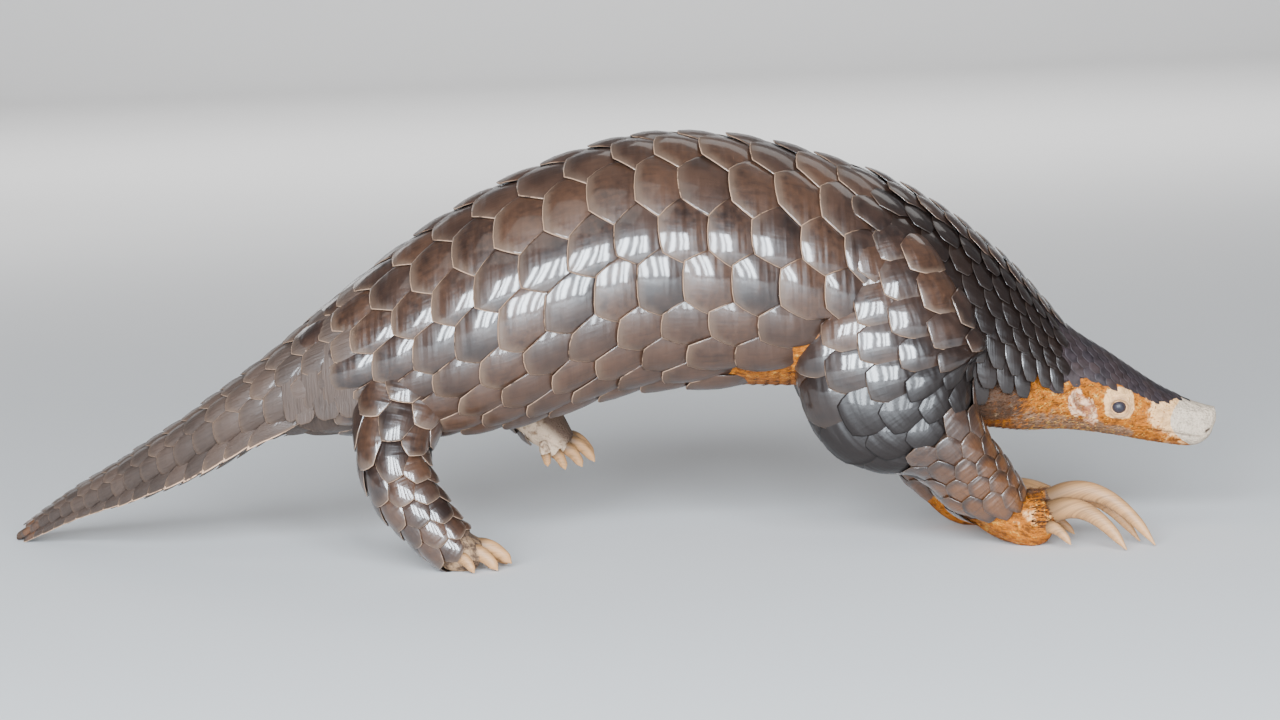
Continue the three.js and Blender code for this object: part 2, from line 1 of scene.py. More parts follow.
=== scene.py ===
"""Looks of a pangolin that walks with its back arched and its head low, as a still, life-size model."""

import math

import bmesh
import bpy
import numpy as np
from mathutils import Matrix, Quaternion, Vector
from mathutils.bvhtree import BVHTree


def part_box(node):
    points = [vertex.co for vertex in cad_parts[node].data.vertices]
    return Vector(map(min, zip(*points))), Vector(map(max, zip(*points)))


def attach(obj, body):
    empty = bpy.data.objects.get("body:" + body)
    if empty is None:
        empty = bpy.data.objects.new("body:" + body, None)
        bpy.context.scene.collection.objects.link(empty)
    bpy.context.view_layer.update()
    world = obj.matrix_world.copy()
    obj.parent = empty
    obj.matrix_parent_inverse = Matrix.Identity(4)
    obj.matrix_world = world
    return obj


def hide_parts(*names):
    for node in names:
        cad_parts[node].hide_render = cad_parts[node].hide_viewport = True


bl_info = {
    "name": "Pangolin looks",
    "version": (1, 0, 0),
    "blender": (4, 5, 0),
    "location": "View3D > Sidebar > Pangolin",
    "description": "Skin, scales, claws, hair and studio of a still pangolin",
    "category": "Object",
}

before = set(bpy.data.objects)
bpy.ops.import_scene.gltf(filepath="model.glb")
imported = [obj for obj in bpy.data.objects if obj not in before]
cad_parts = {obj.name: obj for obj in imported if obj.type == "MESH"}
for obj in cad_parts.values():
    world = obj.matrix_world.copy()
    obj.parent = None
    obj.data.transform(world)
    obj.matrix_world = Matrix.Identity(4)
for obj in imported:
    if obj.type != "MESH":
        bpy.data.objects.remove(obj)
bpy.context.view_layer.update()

# Millimetres, as in the solids: +X to the head, +Y to the animal's left, +Z up.
MM = 0.001

# Each ring of a form is x, y, z of its centre, half height, half width, and a scale's length there.
X, Y, Z, HIGH, WIDE, LENGTH = range(6)

BODY_RINGS = (
    (-410, 130, 2.6, 4.5, 6, 14),
    (-370, 101, 25, 8.5, 15, 18),
    (-325, 70, 46, 13.5, 23, 21),
    (-280, 38, 70, 17.5, 30, 24),
    (-236, 14, 97, 23, 36, 22),
    (-190, 2, 120, 37.5, 42, 24),
    (-140, 0, 136.8, 57.3, 57, 25.5),
    (-80, 0, 155.8, 72.2, 73, 28),
    (0, 0, 177.8, 75.4, 77, 29.5),
    (70, 0, 175.2, 74.2, 74, 29),
    (133, 0, 163, 68, 65, 24.5),
    (184, 0, 141, 65.4, 54, 17),
    (228, 0, 118.3, 51.7, 40, 11.5),
    (262, 0, 98.5, 33.5, 29, 9),
    (290, 0, 86, 25.5, 23.5, 6),
    (320, 0, 72, 18, 16.5, 5),
    (340, 0, 65.6, 14.2, 13, 5),
    (350, 0, 66, 10.2, 10.5, 5),
    (354.5, 0, 69.5, 5.5, 7, 5),
)
BELLY_SQUARENESS = 2.6

# A leg's rings run from the toes into the body, with its depth from front to back before its width.
FRONT_LEG_RINGS = (
    (245, -43, 16, 11, 17, 10),
    (238, -44, 16, 17.2, 19, 10),
    (222, -45, 19, 18, 17, 11),
    (203, -48, 39, 22, 19, 13),
    (184, -50, 64, 25.5, 22, 16),
    (157, -51, 98, 54, 24, 22),
    (147, -45, 150, 48, 24, 27),
    (138, -30, 192, 36, 19, 28),
)
HIND_LEG_RINGS = (
    (-103, -58, 10, 9, 14, 11),
    (-113, -59, 12, 13.8, 15, 11),
    (-123, -60, 19.5, 15, 15, 13),
    (-135, -60, 34, 16.5, 15, 15),
    (-146, -57, 50, 18.5, 16, 18),
    (-152, -51, 74, 20, 17, 21),
    (-143, -37, 112, 28, 17, 26),
    (-130, -28, 150, 28, 15, 26),
)
LIFTED_LEG_RINGS = (
    (-51, 60, 59.5, 9, 11, 10),
    (-62, 60, 71, 14, 12, 11),
    (-76, 60, 86, 16, 13, 13),
    (-96, 57, 104, 20, 16, 16),
    (-117, 50, 122, 30, 20, 22),
    (-130, 38, 150, 30, 18, 26),
)

# The far front leg mirrors the near one. Its foot is moved along, less and less up to a height.
FAR_FRONT_SHIFT = -28
FAR_FRONT_TOP = 100
FAR_CLAW_DROP = 0.78
FAR_CLAW_REACH = 0.84

# Claws: x, y, z of the root and of the tip, and the height of the claw at its root.
FRONT_CLAWS = (
    (244, -60, 13, 256, -71, 3.5, 7.5),
    (247, -54, 21, 288, -84, 1.2, 13.5),
    (249, -43.2, 27.5, 307, -71, 1.2, 13.5),
    (248, -32.6, 26, 300, -54, 1.2, 11),
    (244, -25, 14, 263, -29, 3, 7),
)
HIND_CLAWS = (
    (-113, -71.5, 10, -105, -77, 1.2, 6.5),
    (-106, -66.5, 12.5, -91, -71, 1.2, 8.5),
    (-102, -59, 14, -83, -61, 3.5, 9),
    (-102, -50.5, 12, -86, -49.5, 1.2, 8),
    (-108, -44, 9.5, -96, -40, 1.2, 6.5),
)
LIFTED_CLAWS = (
    (-45.7, 62, 60, -31.5, 63, 46.5, 7),
    (-49.5, 55.5, 57, -39.5, 56, 44.5, 7),
    (-55.5, 50.5, 54.5, -50, 50.5, 44, 6),
    (-45.5, 69, 62, -32, 72, 49, 6.5),
    (-62, 46.5, 54.5, -61, 46, 47, 5),
)
CLAW_RINGS = 8
CLAW_TIP = 0.5
CLAW_WIDTH = 0.8
# A claw's half height at its root as a share of its height, and the power by which it narrows.
SHARP = (0.5, 0.44)
BLUNT = (0.58, 0.34)
# A claw bows more the longer it is. The far claws lie lower, behind the near ones.
CLAW_BOW = 0.1
CLAW_BOW_GROWTH = 0.0021
NEAR_BOW = 0.92
FAR_BOW = 0.45

# The eye in the solids, and where the eyeball looks out of the skin.
EYE = (293.6, 18.6, 77.7)
EYE_RADIUS = 5.0
GAZE = (293.6, 18.6, 79.3)

# Rows of scales round the body, with their turns from the middle of the back down.
BODY_ROWS = 20
ROW_TURNS = (0, 0.125, 0.268, 0.412, 0.518, 0.603, 0.695, 0.79, 0.86, 0.93, 1)
# The coat's border: at each x, the turn where the scales end.
COAT_AT = (-150, -140, 45, 61, 75, 98, 115, 140, 190, 212, 221, 240, 262, 272)
COAT_LIMIT = (0.97, 0.86, 0.86, 0.76, 0.70, 0.62, 0.60, 0.68, 0.74, 0.67, 0.62, 0.57, 0.51, 0.42)
COAT_END = 13.1
NECK_ROWS = 24
NECK_PLACE = 9.6
NECK_START = 150
CROWN_ROWS = 30
LEG_COAT_TURN = 0.67

# The tail's rows. On the near side the row at MARGIN_TURN hangs from HANG_TURN down to the tail's lower
# outline as it is seen from a camera that looks down by SIDE_SLOPE.
TAIL_ROWS = 12
TAIL_STRETCH = 0.74
TAIL_TURNS = (0, 0.15, 0.29, 0.42, 0.54, 0.74, 1)
TAIL_END = 5
TAIL_ROOT = -208
MARGIN_TURN = 0.74
HANG_TURN = 0.6
HANG_SPAN = 0.36
HANG_MOST = 1.08
SIDE_SLOPE = 0.114
# Long leaves hang in a fan over the root of the tail.
FAN_FROM, FAN_TO = -216, -170
FAN_TURNS = (0.5, 0.62)
FAN_STRETCH = 0.52

# How fine the meshes are.
PLATE_SIDES = 18
SKIN_COLUMNS = 208
SKIN_RINGS = 120
HEAD_RINGS = 150
HEAD_START = 12.4
LEG_COLUMNS = 56
HAIRS = 5200

# The skin lies this deep under the scales, or by this share of the form where that is less.
CORE_UNDER = 5.0
CORE_SHARE = 0.28

# At the front, what lies higher than this belongs to the head and not to a foot.
HEAD_LOW = 44
# On the map: half the size of a small thing's patch, and the body's length in millimetres.
PATCH = 0.0015
BODY_LENGTH = 765


# Numbers


def smooth(value, low, high):
    """0 below low, 1 above high, and a smooth step between them."""
    share = np.clip((np.asarray(value, float) - low) / (high - low), 0, 1)
    return share * share * (3 - 2 * share)


def unit(vectors):
    """Each vector at a length of 1."""
    return vectors / np.maximum(np.linalg.norm(vectors, axis=-1, keepdims=True), 1e-12)


def blend(values, place):
    """The value at a place between the rings, on one smooth curve through all of them."""
    last = len(values) - 1
    start = np.clip(np.floor(place).astype(int), 0, last - 1)
    f = place - start
    ends = (2 * values[0] - values[1], 2 * values[-1] - values[-2])
    padded = np.concatenate((ends[:1], values, ends[1:]))
    a, b, c, d = (padded[start + k] for k in range(4))
    return b + 0.5 * f * (c - a + f * (2 * a - 5 * b + 4 * c - d + f * (3 * (b - c) + d - a)))


def quarter_angle(high, wide, share):
    """The angle on an ellipse at a share of its quarter's length, from the end of its height."""
    steps = 16
    middles = (np.arange(steps) + 0.5) / steps * (math.pi / 2)
    pieces = np.hypot(wide[..., None] * np.cos(middles), high[..., None] * np.sin(middles))
    lengths = np.concatenate((np.zeros(pieces.shape[:-1] + (1,)), np.cumsum(pieces, axis=-1)), axis=-1)
    wanted = share * lengths[..., -1]
    index = np.clip((lengths[..., 1:] < wanted[..., None]).sum(axis=-1), 0, steps - 1)
    low = np.take_along_axis(lengths, index[..., None], axis=-1)[..., 0]
    size = np.take_along_axis(pieces, index[..., None], axis=-1)[..., 0]
    return (index + (wanted - low) / size) / steps * (math.pi / 2)


class Form:
    """Rings of elliptic section along a line. A turn of 0 is its outer middle, and 1 its opposite."""

    def __init__(self, rings, outward, upright=False, squareness=2.0):
        self.columns = np.array(rings, float).T
        self.last = len(rings) - 1
        self.outward = np.array(outward, float)
        self.upright = upright
        self.squareness = squareness

    def size(self, place, column):
        """One number of the rings, such as HIGH, at a place."""
        return blend(self.columns[column], np.asarray(place, float))

    def centre(self, place):
        return np.stack([self.size(place, column) for column in range(3)], axis=-1)

    def heading(self, place):
        return unit(self.centre(place + 0.05) - self.centre(place - 0.05))

    def speed(self, place):
        """Millimetres along the line for each ring passed."""
        return np.linalg.norm(self.centre(place + 0.05) - self.centre(place - 0.05), axis=-1) / 0.1

    def point(self, place, turn, lift=0.0):
        """Points in the row frame, in metres."""
        place, turn, lift = np.broadcast_arrays(*(np.asarray(v, float) for v in (place, turn, lift)))
        turn = (turn + 3) % 2 - 1
        heading = self.heading(place)
        side = unit(np.cross(self.outward, heading))
        up = np.broadcast_to(self.outward, heading.shape) if self.upright else np.cross(heading, side)
        high, wide = self.size(place, HIGH), self.size(place, WIDE)
        quarters = np.abs(turn) * 2
        near = quarters <= 1
        quarter = quarter_angle(high, wide, np.where(near, quarters, 2 - quarters))
        angle = np.where(near, quarter, math.pi - quarter)
        power = np.where(near, 1.0, 2 / self.squareness)
        rise = np.sign(np.cos(angle)) * np.abs(np.cos(angle)) ** power
        reach = np.sign(turn) * np.abs(np.sin(angle)) ** power
        facing = unit(np.stack((reach / wide, rise / high), axis=-1))
        across = (wide * reach + lift * facing[..., 0])[..., None]
        upward = (high * rise + lift * facing[..., 1])[..., None]
        return (self.centre(place) + side * across + up * upward + SHIFT) * MM

    def steps(self, start, end, stretch=1.0):
        """Places one scale length apart, from one end of the form to the other."""
        places = [start]
        while places[-1] < end:
            here = np.array(places[-1])
            places.append(places[-1] + float(stretch * self.size(here, LENGTH) / self.speed(here)))
        return np.array(places)


def far_shift(z):
    """How far the far front leg is moved along at a height."""
    return FAR_FRONT_SHIFT * max(0, 1 - z / FAR_FRONT_TOP)


def far_leg(rows):
    """A near leg's rings on the far side."""
    return [(x + far_shift(z), -y, z, *sizes) for x, y, z, *sizes in rows]


def far_claws(claws):
    """Near claws on the far side, a little lower and shorter."""
    made = []
    for x, y, z, tip_x, tip_y, tip_z, thick in claws:
        shift = far_shift(z)
        tip = (x + FAR_CLAW_REACH * (tip_x - x) + shift, -y - FAR_CLAW_REACH * (tip_y - y))
        made.append((x + shift, -y, z * FAR_CLAW_DROP, *tip, tip_z, thick))
    return made


def leg_form(rows, outward):
    """A leg. Its middle row of scales faces outward, so its width stands for a form's height."""
    return Form([(x, y, z, wide, deep, scale) for x, y, z, deep, wide, scale in rows], outward)


def claw_form(claw, bow=1.0, shape=SHARP):
    """A bowed horn that starts at its toe and narrows to its tip."""
    root, tip, thick = np.array(claw[:3], float), np.array(claw[3:6], float), claw[6]
    length = np.linalg.norm(tip - root)
    rise = 2 * bow * length * (CLAW_BOW + CLAW_BOW_GROWTH * length)
    bend = (root + tip) / 2 + np.array((0, 0, rise))
    share, power = shape
    rows = []
    for along in np.linspace(0, 1, CLAW_RINGS + 1):
        centre = (1 - along) ** 2 * root + 2 * along * (1 - along) * bend + along**2 * tip
        half = thick * share * (1 - along) ** power + CLAW_TIP
        rows.append((*centre, half, half * CLAW_WIDTH))
    return Form(rows, (0, 0, 1))


EYE_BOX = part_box("eye_right")
SHIFT = np.array((EYE_BOX[0] + EYE_BOX[1]) / 2) / MM - np.array((EYE[0], -EYE[1], EYE[2]))
BODY = Form(BODY_RINGS, (0, 0, 1), upright=True, squareness=BELLY_SQUARENESS)
LEGS = {
    "front_right": leg_form(FRONT_LEG_RINGS, (0, -1, 0)),
    "front_left": leg_form(far_leg(FRONT_LEG_RINGS), (0, 1, 0)),
    "hind_right": leg_form(HIND_LEG_RINGS, (0, -1, 0)),
    "hind_left": leg_form(LIFTED_LEG_RINGS, (0, 1, 0)),
}
CLAWS = {
    "front_right": FRONT_CLAWS,
    "front_left": far_claws(FRONT_CLAWS),
    "hind_right": HIND_CLAWS,
    "hind_left": LIFTED_CLAWS,
}


def body_at(x, column):
    """One number of the body's rings at an x."""
    return np.interp(x, BODY.columns[X], BODY.columns[column])


def spot(x, y, z):
    """A point of the solids' own layout in the row frame, in metres."""
    return Vector((np.array((x, y, z), float) + SHIFT) * MM)


# Materials


class Shade:
    """One output of a node. Sums of shades become Math nodes."""

    def __init__(self, tree, socket):
        self.tree = tree
        self.socket = socket

    def _math(self, operation, first, second):
        return node(self.tree, "ShaderNodeMath", {"operation": operation}, {0: first, 1: second})

    def __add__(self, other):
        return self._math("ADD", self, other)

    __radd__ = __add__

    def __sub__(self, other):
        return self._math("SUBTRACT", self, other)

    def __rsub__(self, other):
        return self._math("SUBTRACT", other, self)

    def __mul__(self, other):
        return self._math("MULTIPLY", self, other)

    __rmul__ = __mul__

    def above(self, low, high):
        """0 at low, 1 at high, smoothly."""
        settings = {"interpolation_type": "SMOOTHSTEP"}
        return node(self.tree, "ShaderNodeMapRange", settings, {"Value": self, 1: low, 2: high})


def node(tree, kind, settings, inputs, output=0):
    """Makes a node, gives it its settings and then its inputs, and returns one output."""
    made = tree.nodes.new(kind)
    for name, value in settings.items():
        setattr(made, name, value)
    for name, value in inputs.items():
        if isinstance(value, Shade):
            tree.links.new(value.socket, made.inputs[name])
        else:
            made.inputs[name].default_value = value
    return Shade(tree, made.outputs[output])


def socket_name(key):
    """A keyword such as coat_ior as the shader's own name for that input."""
    return key.replace("_", " ").title().replace("Ior", "IOR")


def paint(colour, share=1.0):
    """A colour for a node, made darker or lighter by a share."""
    return (*(c * share for c in colour), 1.0)


class Finish:
    """A new material with a principled shader, and short names for the nodes its looks are made of."""

    def __init__(self, name, **constants):
        self.material = bpy.data.materials.new(name)
        self.material.use_nodes = True
        self.tree = self.material.node_tree
        self.shader = next(n for n in self.tree.nodes if n.type == "BSDF_PRINCIPLED")
        for key, value in constants.items():
            self.shader.inputs[socket_name(key)].default_value = value
        self.coordinates = node(self.tree, "ShaderNodeTexCoord", {}, {}, "Object")
        self.base = None

    def attribute(self, name):
        return node(self.tree, "ShaderNodeAttribute", {"attribute_name": name}, {}, "Fac")

    def mix(self, first, second, share):
        settings = {"data_type": "RGBA", "clamp_factor": True}
        return node(self.tree, "ShaderNodeMix", settings, {0: share, 6: first, 7: second}, 2)

    def vector(self, x, y, z):
        return node(self.tree, "ShaderNodeCombineXYZ", {}, {0: x, 1: y, 2: z})

    def noise(self, scale, detail=3.0, vector=None, rough=0.55):
        inputs = {"Vector": vector or self.coordinates, "Scale": scale, "Detail": detail, "Roughness": rough}
        return node(self.tree, "ShaderNodeTexNoise", {}, inputs)

    def wrinkles(self, scale):
        inputs = {"Vector": self.coordinates, "Scale": scale}
        return node(self.tree, "ShaderNodeTexVoronoi", {"feature": "DISTANCE_TO_EDGE"}, inputs, "Distance")

    def bump(self, height, distance, strength):
        inputs = {"Height": height, "Distance": distance, "Strength": strength}
        return node(self.tree, "ShaderNodeBump", {}, inputs)

    def cover(self, colour, share):
        """Lays a colour over the base colour as it is so far."""
        self.base = self.mix(self.base, colour, share)

    def done(self, **inputs):
        """Links the base colour and the given shades to the shader, and returns the material."""
        for key, value in {"base_color": self.base, **inputs}.items():
            self.tree.links.new(value.socket, self.shader.inputs[socket_name(key)])
        return self.material


def horn_finish(colours):
    """Horny scale: dark middle, thin pale worn edge, growth ridges and striae from the root, and painted
    shade under it.
    """
    finish = Finish("pangolin_horn", ior=1.45, coat_roughness=0.1, coat_ior=1.66)
    keys = ("along", "across", "rim", "seed", "worn", *HORN_TONES)
    along, across, rim, seed, worn, dull, warm, pale, dark, matt = map(finish.attribute, keys)
    striae = finish.noise(1.0, 3.0, finish.vector(along * 1.6, across * 14, seed * 40))
    ridges = finish.noise(1.0, 1.5, finish.vector(along * 5.5, across * 0.6, seed * 23 + 5))
    blotch = finish.noise(42.0, 4.0)
    fine = finish.noise(260.0, 4.0)

    # Dark horn with lighter and warmer blotches. Plates that are matt are more mottled.
    finish.base = paint(colours.scale_dark)
    finish.cover(paint(colours.scale_light), blotch.above(0.36, 0.66))
    finish.cover(paint(colours.scale_warm), (seed * 0.8 + fine - 0.5).above(0.3, 1.0) * 0.7)
    mottling = blotch * 0.7 + fine * 0.3
    mottled = finish.mix(paint(colours.scale_dark), paint(colours.scale_warm, 1.15), mottling)
    finish.cover(mottled, matt * 0.7)
    finish.cover(paint(colours.scale_amber), warm * rim.above(0.1, 0.5))
    finish.cover(paint(colours.scale_dark, 0.7), striae.above(0.5, 0.8) * 0.5)

    # Dull plates are grey and lined.
    lines = striae * 0.9 + seed * 0.5 - 0.2
    finish.cover(finish.mix(paint(colours.tail_grey, 0.4), paint(colours.tail_grey), lines), dull)

    # The free edge has a broad soft band and a thin worn line, which is wide and white on the tail's margin.
    band = (1 - rim.above(0.0, 0.34)) * (worn + fine * 0.4 - 0.2).above(0.5, 0.95) * pale
    finish.cover(paint(colours.rim, 0.3), band * (0.3 + seed * 0.6))
    margin = pale.above(1.6, 1.8) * worn.above(0.84, 0.95)
    line = (1 - (rim - margin * 0.09).above(0.006, 0.035)) * rim.above(-0.06, -0.01)
    edge = line * (worn + blotch * 0.5 - 0.25).above(0.35, 0.7)
    worn_rim = finish.mix(paint(colours.rim), paint(colours.rim, 1.7), margin)
    finish.cover(worn_rim, edge * (fine + seed * 0.3).above(0.4, 0.6) * pale)

    # Painted shade darkens each plate's underside and the lower part of its side wall. Plates marked dark
    # are darker all over.
    finish.base = finish.mix(paint(colours.scale_dark, 0.4), finish.base, rim.above(-0.12, -0.02))
    finish.cover(paint(colours.scale_dark, 0.5), dark)
    gloss = 0.95 - band * 0.3 - warm * 0.4 - dark * 0.3 - matt * 0.6
    height = striae * (0.5 + dull * 1.6) + ridges * 3.4 * (1 - dull) + fine * 0.25
    return finish.done(
        roughness=0.28 + matt * 0.16 + dull * 0.26 + fine * 0.14 + blotch * 0.08 + band * 0.2,
        coat_weight=gloss * (1 - dull),
        normal=finish.bump(height, 0.0008, 0.52),
    )


# Meshes


def new_object(name, mesh, material):
    """A mesh as an object at the origin, smooth and with its material."""
    made = bpy.data.objects.new(name, mesh)
    bpy.context.scene.collection.objects.link(made)
    mesh.materials.clear()
    mesh.materials.append(material)
    mesh.shade_smooth()
    return made


def finished(name, mesh, material, slot, replaced=()):
    """A piece of the animal: it rides on the body and stands for the given solids."""
    made = new_object(name, mesh, material)
    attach(made, "root")
    if replaced:
        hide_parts(*replaced)


def mesh_of(bm, name):
    """A bmesh as a mesh. The bmesh is freed."""
    mesh = bpy.data.meshes.new(name)
    bm.to_mesh(mesh)
    bm.free()
    return mesh


def positions(mesh):
    """Where a mesh's vertices are."""
    flat = np.empty(len(mesh.vertices) * 3, np.float32)
    mesh.vertices.foreach_get("co", flat)
    return flat.reshape(-1, 3).astype(float)


def give(mesh, name, values):
    """A number for each vertex, for the material."""
    mesh.attributes.new(name, "FLOAT", "POINT").data.foreach_set("value", values.astype(np.float32))


def copies(name, template, where, clear):
    """One mesh of copies of a template, with a place for each vertex, clear of the floor."""
    where = where.reshape(-1, 3)
    where[:, 2] = np.maximum(where[:, 2], clear)
    bm = bmesh.new()
    for _ in range(len(where) // len(template.vertices)):
        bm.from_mesh(template)
    for vertex, place in zip(bm.verts, where):
        vertex.co = place
    bmesh.ops.recalc_face_normals(bm, faces=bm.faces)
    return mesh_of(bm, name)


def bake_patches(mesh, roots, flat):
    """The map in which each small thing is one patch at its root's place."""
    patch = (roots[:, None, :] + PATCH * flat[None, :, :2]).reshape(-1, 2)
    layer = mesh.uv_layers.new(name="OFBake")
    index = np.empty(len(mesh.loops), np.int32)
    mesh.loops.foreach_get("vertex_index", index)
    layer.data.foreach_set("uv", patch[index].astype(np.float32).ravel())


def warped(points):
    """A grid of faces warped to an array of points, with doubled points merged, as a bmesh."""
    rows, columns = points.shape[:2]
    bm = bmesh.new()
    bmesh.ops.create_grid(bm, x_segments=columns - 1, y_segments=rows - 1, size=1.0, calc_uvs=True)
    for vertex, where in zip(bm.verts, points.reshape(-1, 3)):
        vertex.co = where
    bmesh.ops.remove_doubles(bm, verts=bm.verts, dist=1e-6)
    bmesh.ops.recalc_face_normals(bm, faces=bm.faces)
    return bm


def tube_points(form, places, columns, lift=None, dome=0.0):
    """The points of a closed tube along a form, with rounded ends where a dome is given."""
    turns = np.linspace(-1, 1, columns + 1)
    place, turn = np.meshgrid(places, turns, indexing="ij")
    points = form.point(place, turn, 0.0 if lift is None else lift(place, turn))
    ends = []
    for end, way in ((0, -1), (-1, 1)):
        middle = points[end, :-1].mean(axis=0)
        along = form.heading(np.array(places[end])) * way * dome * MM
        angles = np.linspace(0, math.pi / 2, 5)[1:, None, None]
        ends.append(middle + (points[end] - middle) * np.cos(angles) + along * np.sin(angles))
    return np.concatenate((ends[0][::-1], points, ends[1]))


# Head


# Folds in side view: the line they follow in x and z, then their height over the skin and half width.
EAR_BACK = (((262.5, 90), (263.5, 84), (267, 79), (271.5, 75.5)), 1.9, 1.3)
EAR_CREASE = (((265.5, 89), (267, 83.5), (271, 79)), -2.6, 1.1)
EAR_FRONT = (((268.5, 90.5), (272.8, 87), (275.5, 82), (274.8, 77)), 2.0, 1.7)
EAR_LOBE = (((271.5, 73), (274.5, 72)), 1.2, 1.8)
MOUTH = (((311, 64.4), (322, 62.2), (334, 59.6), (344, 57.8)), -0.9, 0.6)
LIP = (((309, 66.8), (322, 64.6), (334, 62.0)), 0.5, 1.4)
NOSTRIL = (((348.4, 60.8), (350.4, 61.9)), -1.5, 0.7)
PAD_EDGE = (((334.5, 82), (330, 77.6), (326.6, 73), (325.8, 68.5), (327, 63.5), (331.5, 58)), -0.5, 1.0)
LUMP = (((318, 73.5), (325, 71)), 0.9, 3.6)
CHEEK = (((281, 69.5), (290, 66.4), (300, 67.6)), -0.5, 0.9)
BROW = (((303.5, 71), (306.5, 77), (305, 84)), -0.5, 0.9)
FOLDS = (EAR_BACK, EAR_CREASE, EAR_FRONT, EAR_LOBE, MOUTH, LIP, NOSTRIL, PAD_EDGE, LUMP, CHEEK, BROW)
# Behind this x the sides have no folds.
FACE_START = 250

# Ovals in side view: x and z of the middle, and half the length and height. The lids bulge from a depth.
LID = (293.4, 82.2, 10.4, 10.8)
LID_DEPTH, LID_BULGE = 17.4, 6.6
LID_PATCH = (293.6, 82, 10.2, 10.6)
EAR = (269, 81, 9, 12)
EAR_BULGE = 2.2
EAR_BACK_PATCH = (266.5, 84, 5.5, 9)
EAR_FRONT_PATCH = (274, 78, 6, 11)
PALM_PATCH = (232, 20, 13, 7)
ARMPIT = (85, 108, 60, 38)
EYE_HOLE = (4.6, 6.4)
EYE_DEPTH = 9

# The crown's border: at each x, the turn where its dark scales end.
CROWN_AT = (255, 264, 285, 300, 315, 326, 334)
CROWN_LIMIT = (0.57, 0.5, 0.4, 0.38, 0.38, 0.3, 0.12)


def distance_to(line, x, z):
    """How far points of the side view lie from a broken line."""
    best = np.full(x.shape, 1e9)
    for (ax, az), (bx, bz) in zip(line, line[1:]):
        dx, dz = bx - ax, bz - az
        share = np.clip(((x - ax) * dx + (z - az) * dz) / (dx * dx + dz * dz), 0, 1)
        best = np.minimum(best, np.hypot(x - ax - share * dx, z - az - share * dz))
    return best


def oval(x, z, shape, power=2):
    """0 in the middle of an oval of the side view, and 1 on its outline."""
    middle_x, middle_z, long, high = shape
    return (np.abs(x - middle_x) / long) ** power + (np.abs(z - middle_z) / high) ** power


def wrist_line(x):
    """The height at which the bare sole of a front foot meets its scales."""
    return np.clip(21 + 0.25 * (x - 187), 17, 36)


def pad_border(z):
    """Where the nose pad starts at a height."""
    return 325.8 + 0.05 * (z - 68.5) ** 2


def fold_height(x, z):
    """How far all folds together stand out of the face."""
    total = np.zeros(x.shape)
    for line, height, wide in FOLDS:
        total += height * np.exp(-((distance_to(line, x, z) / wide) ** 2))
    return total


def under_coat(form, place, cover):
    """The skin's height over a form: it lies deeper under the scales."""
    thin = np.minimum(form.size(place, HIGH), form.size(place, WIDE))
    return -np.minimum(CORE_UNDER, CORE_SHARE * thin) * cover


def body_cover(place, turn):
    """1 under the scales and 0 on the bare belly, throat and face."""
    x = BODY.size(place, X)
    limit = np.interp(x, COAT_AT, COAT_LIMIT) + np.interp(x, (100, 200, 240), (0.03, 0.05, 0.07))
    covered = 1 - smooth(np.abs(turn), limit - 0.06, limit)
    covered = np.where(x < TAIL_ROOT + 3, 1.0, covered)
    return covered * (1 - smooth(place, 12.5, 12.95))


def sculpt_head(points):
    """Lids, ears, mouth, nose pad and wrinkles, pushed out of or into the smooth head."""
    x, y, z = np.moveaxis(points / MM - SHIFT, -1, 0)
    lateral = smooth(np.abs(y), 2.0, 6.0)
    inside = np.clip(1 - oval(x, z, LID), 0, 1)
    bulge = np.where(inside > 0, LID_DEPTH + LID_BULGE * np.sqrt(inside), 0)
    raised = np.maximum(np.abs(y), bulge)
    wide = np.abs(y) + (raised - np.abs(y)) * smooth(inside, 0, 0.5)
    hole = 1 - smooth(np.hypot(x - GAZE[0], z - GAZE[2]), *EYE_HOLE)
    wide = np.where(np.abs(y) > 8, wide - EYE_DEPTH * hole, wide)
    ear = EAR_BULGE * np.clip(1 - oval(x, z, EAR), 0, 1)
    pad = 0.7 * smooth(x - pad_border(z), 0, 3)
    wide = wide + (ear + fold_height(x, z) + pad) * lateral
    y = np.where(x > FACE_START, np.sign(y) * wide, y)
    return (np.stack((x, y, z), axis=-1) + SHIFT) * MM


def toe_form(claw):
    """A short round toe that holds the root of its claw."""
    thick = claw[6]
    horn = claw_form(claw)
    along = horn.heading(np.array(0.0))
    face = horn.centre(np.array(0.0)) + along * 0.8
    rows = []
    for back, share in ((1.7, 0.7), (0.8, 1.0), (0.25, 0.93), (0.0, 0.66)):
        half = thick * 0.68 * share
        rows.append((*(face - along * back * thick), half, half * 0.9))
    return Form(rows, (0, 0, 1))


def body_skin():
    """The closed skin from the tail's tip to the nose."""
    behind = np.linspace(0, HEAD_START, SKIN_RINGS)[:-1]
    places = np.concatenate((behind, np.linspace(HEAD_START, BODY.last, HEAD_RINGS)))
    lift = lambda place, turn: under_coat(BODY, place, body_cover(place, turn))
    return warped(sculpt_head(tube_points(BODY, places, SKIN_COLUMNS, lift, dome=1.6)))


def leg_skin(form):
    """The closed skin of a leg."""
    lift = lambda place, turn: under_coat(form, place, smooth(place, 1.2, 2.4) * (np.abs(turn) < 0.6))
    return warped(tube_points(form, np.linspace(0, form.last, 60), LEG_COLUMNS, lift, dome=2.0))


def toe_skin(form):
    """The closed skin of a toe."""
    return warped(tube_points(form, np.linspace(0, form.last, 14), 20, dome=1.0))


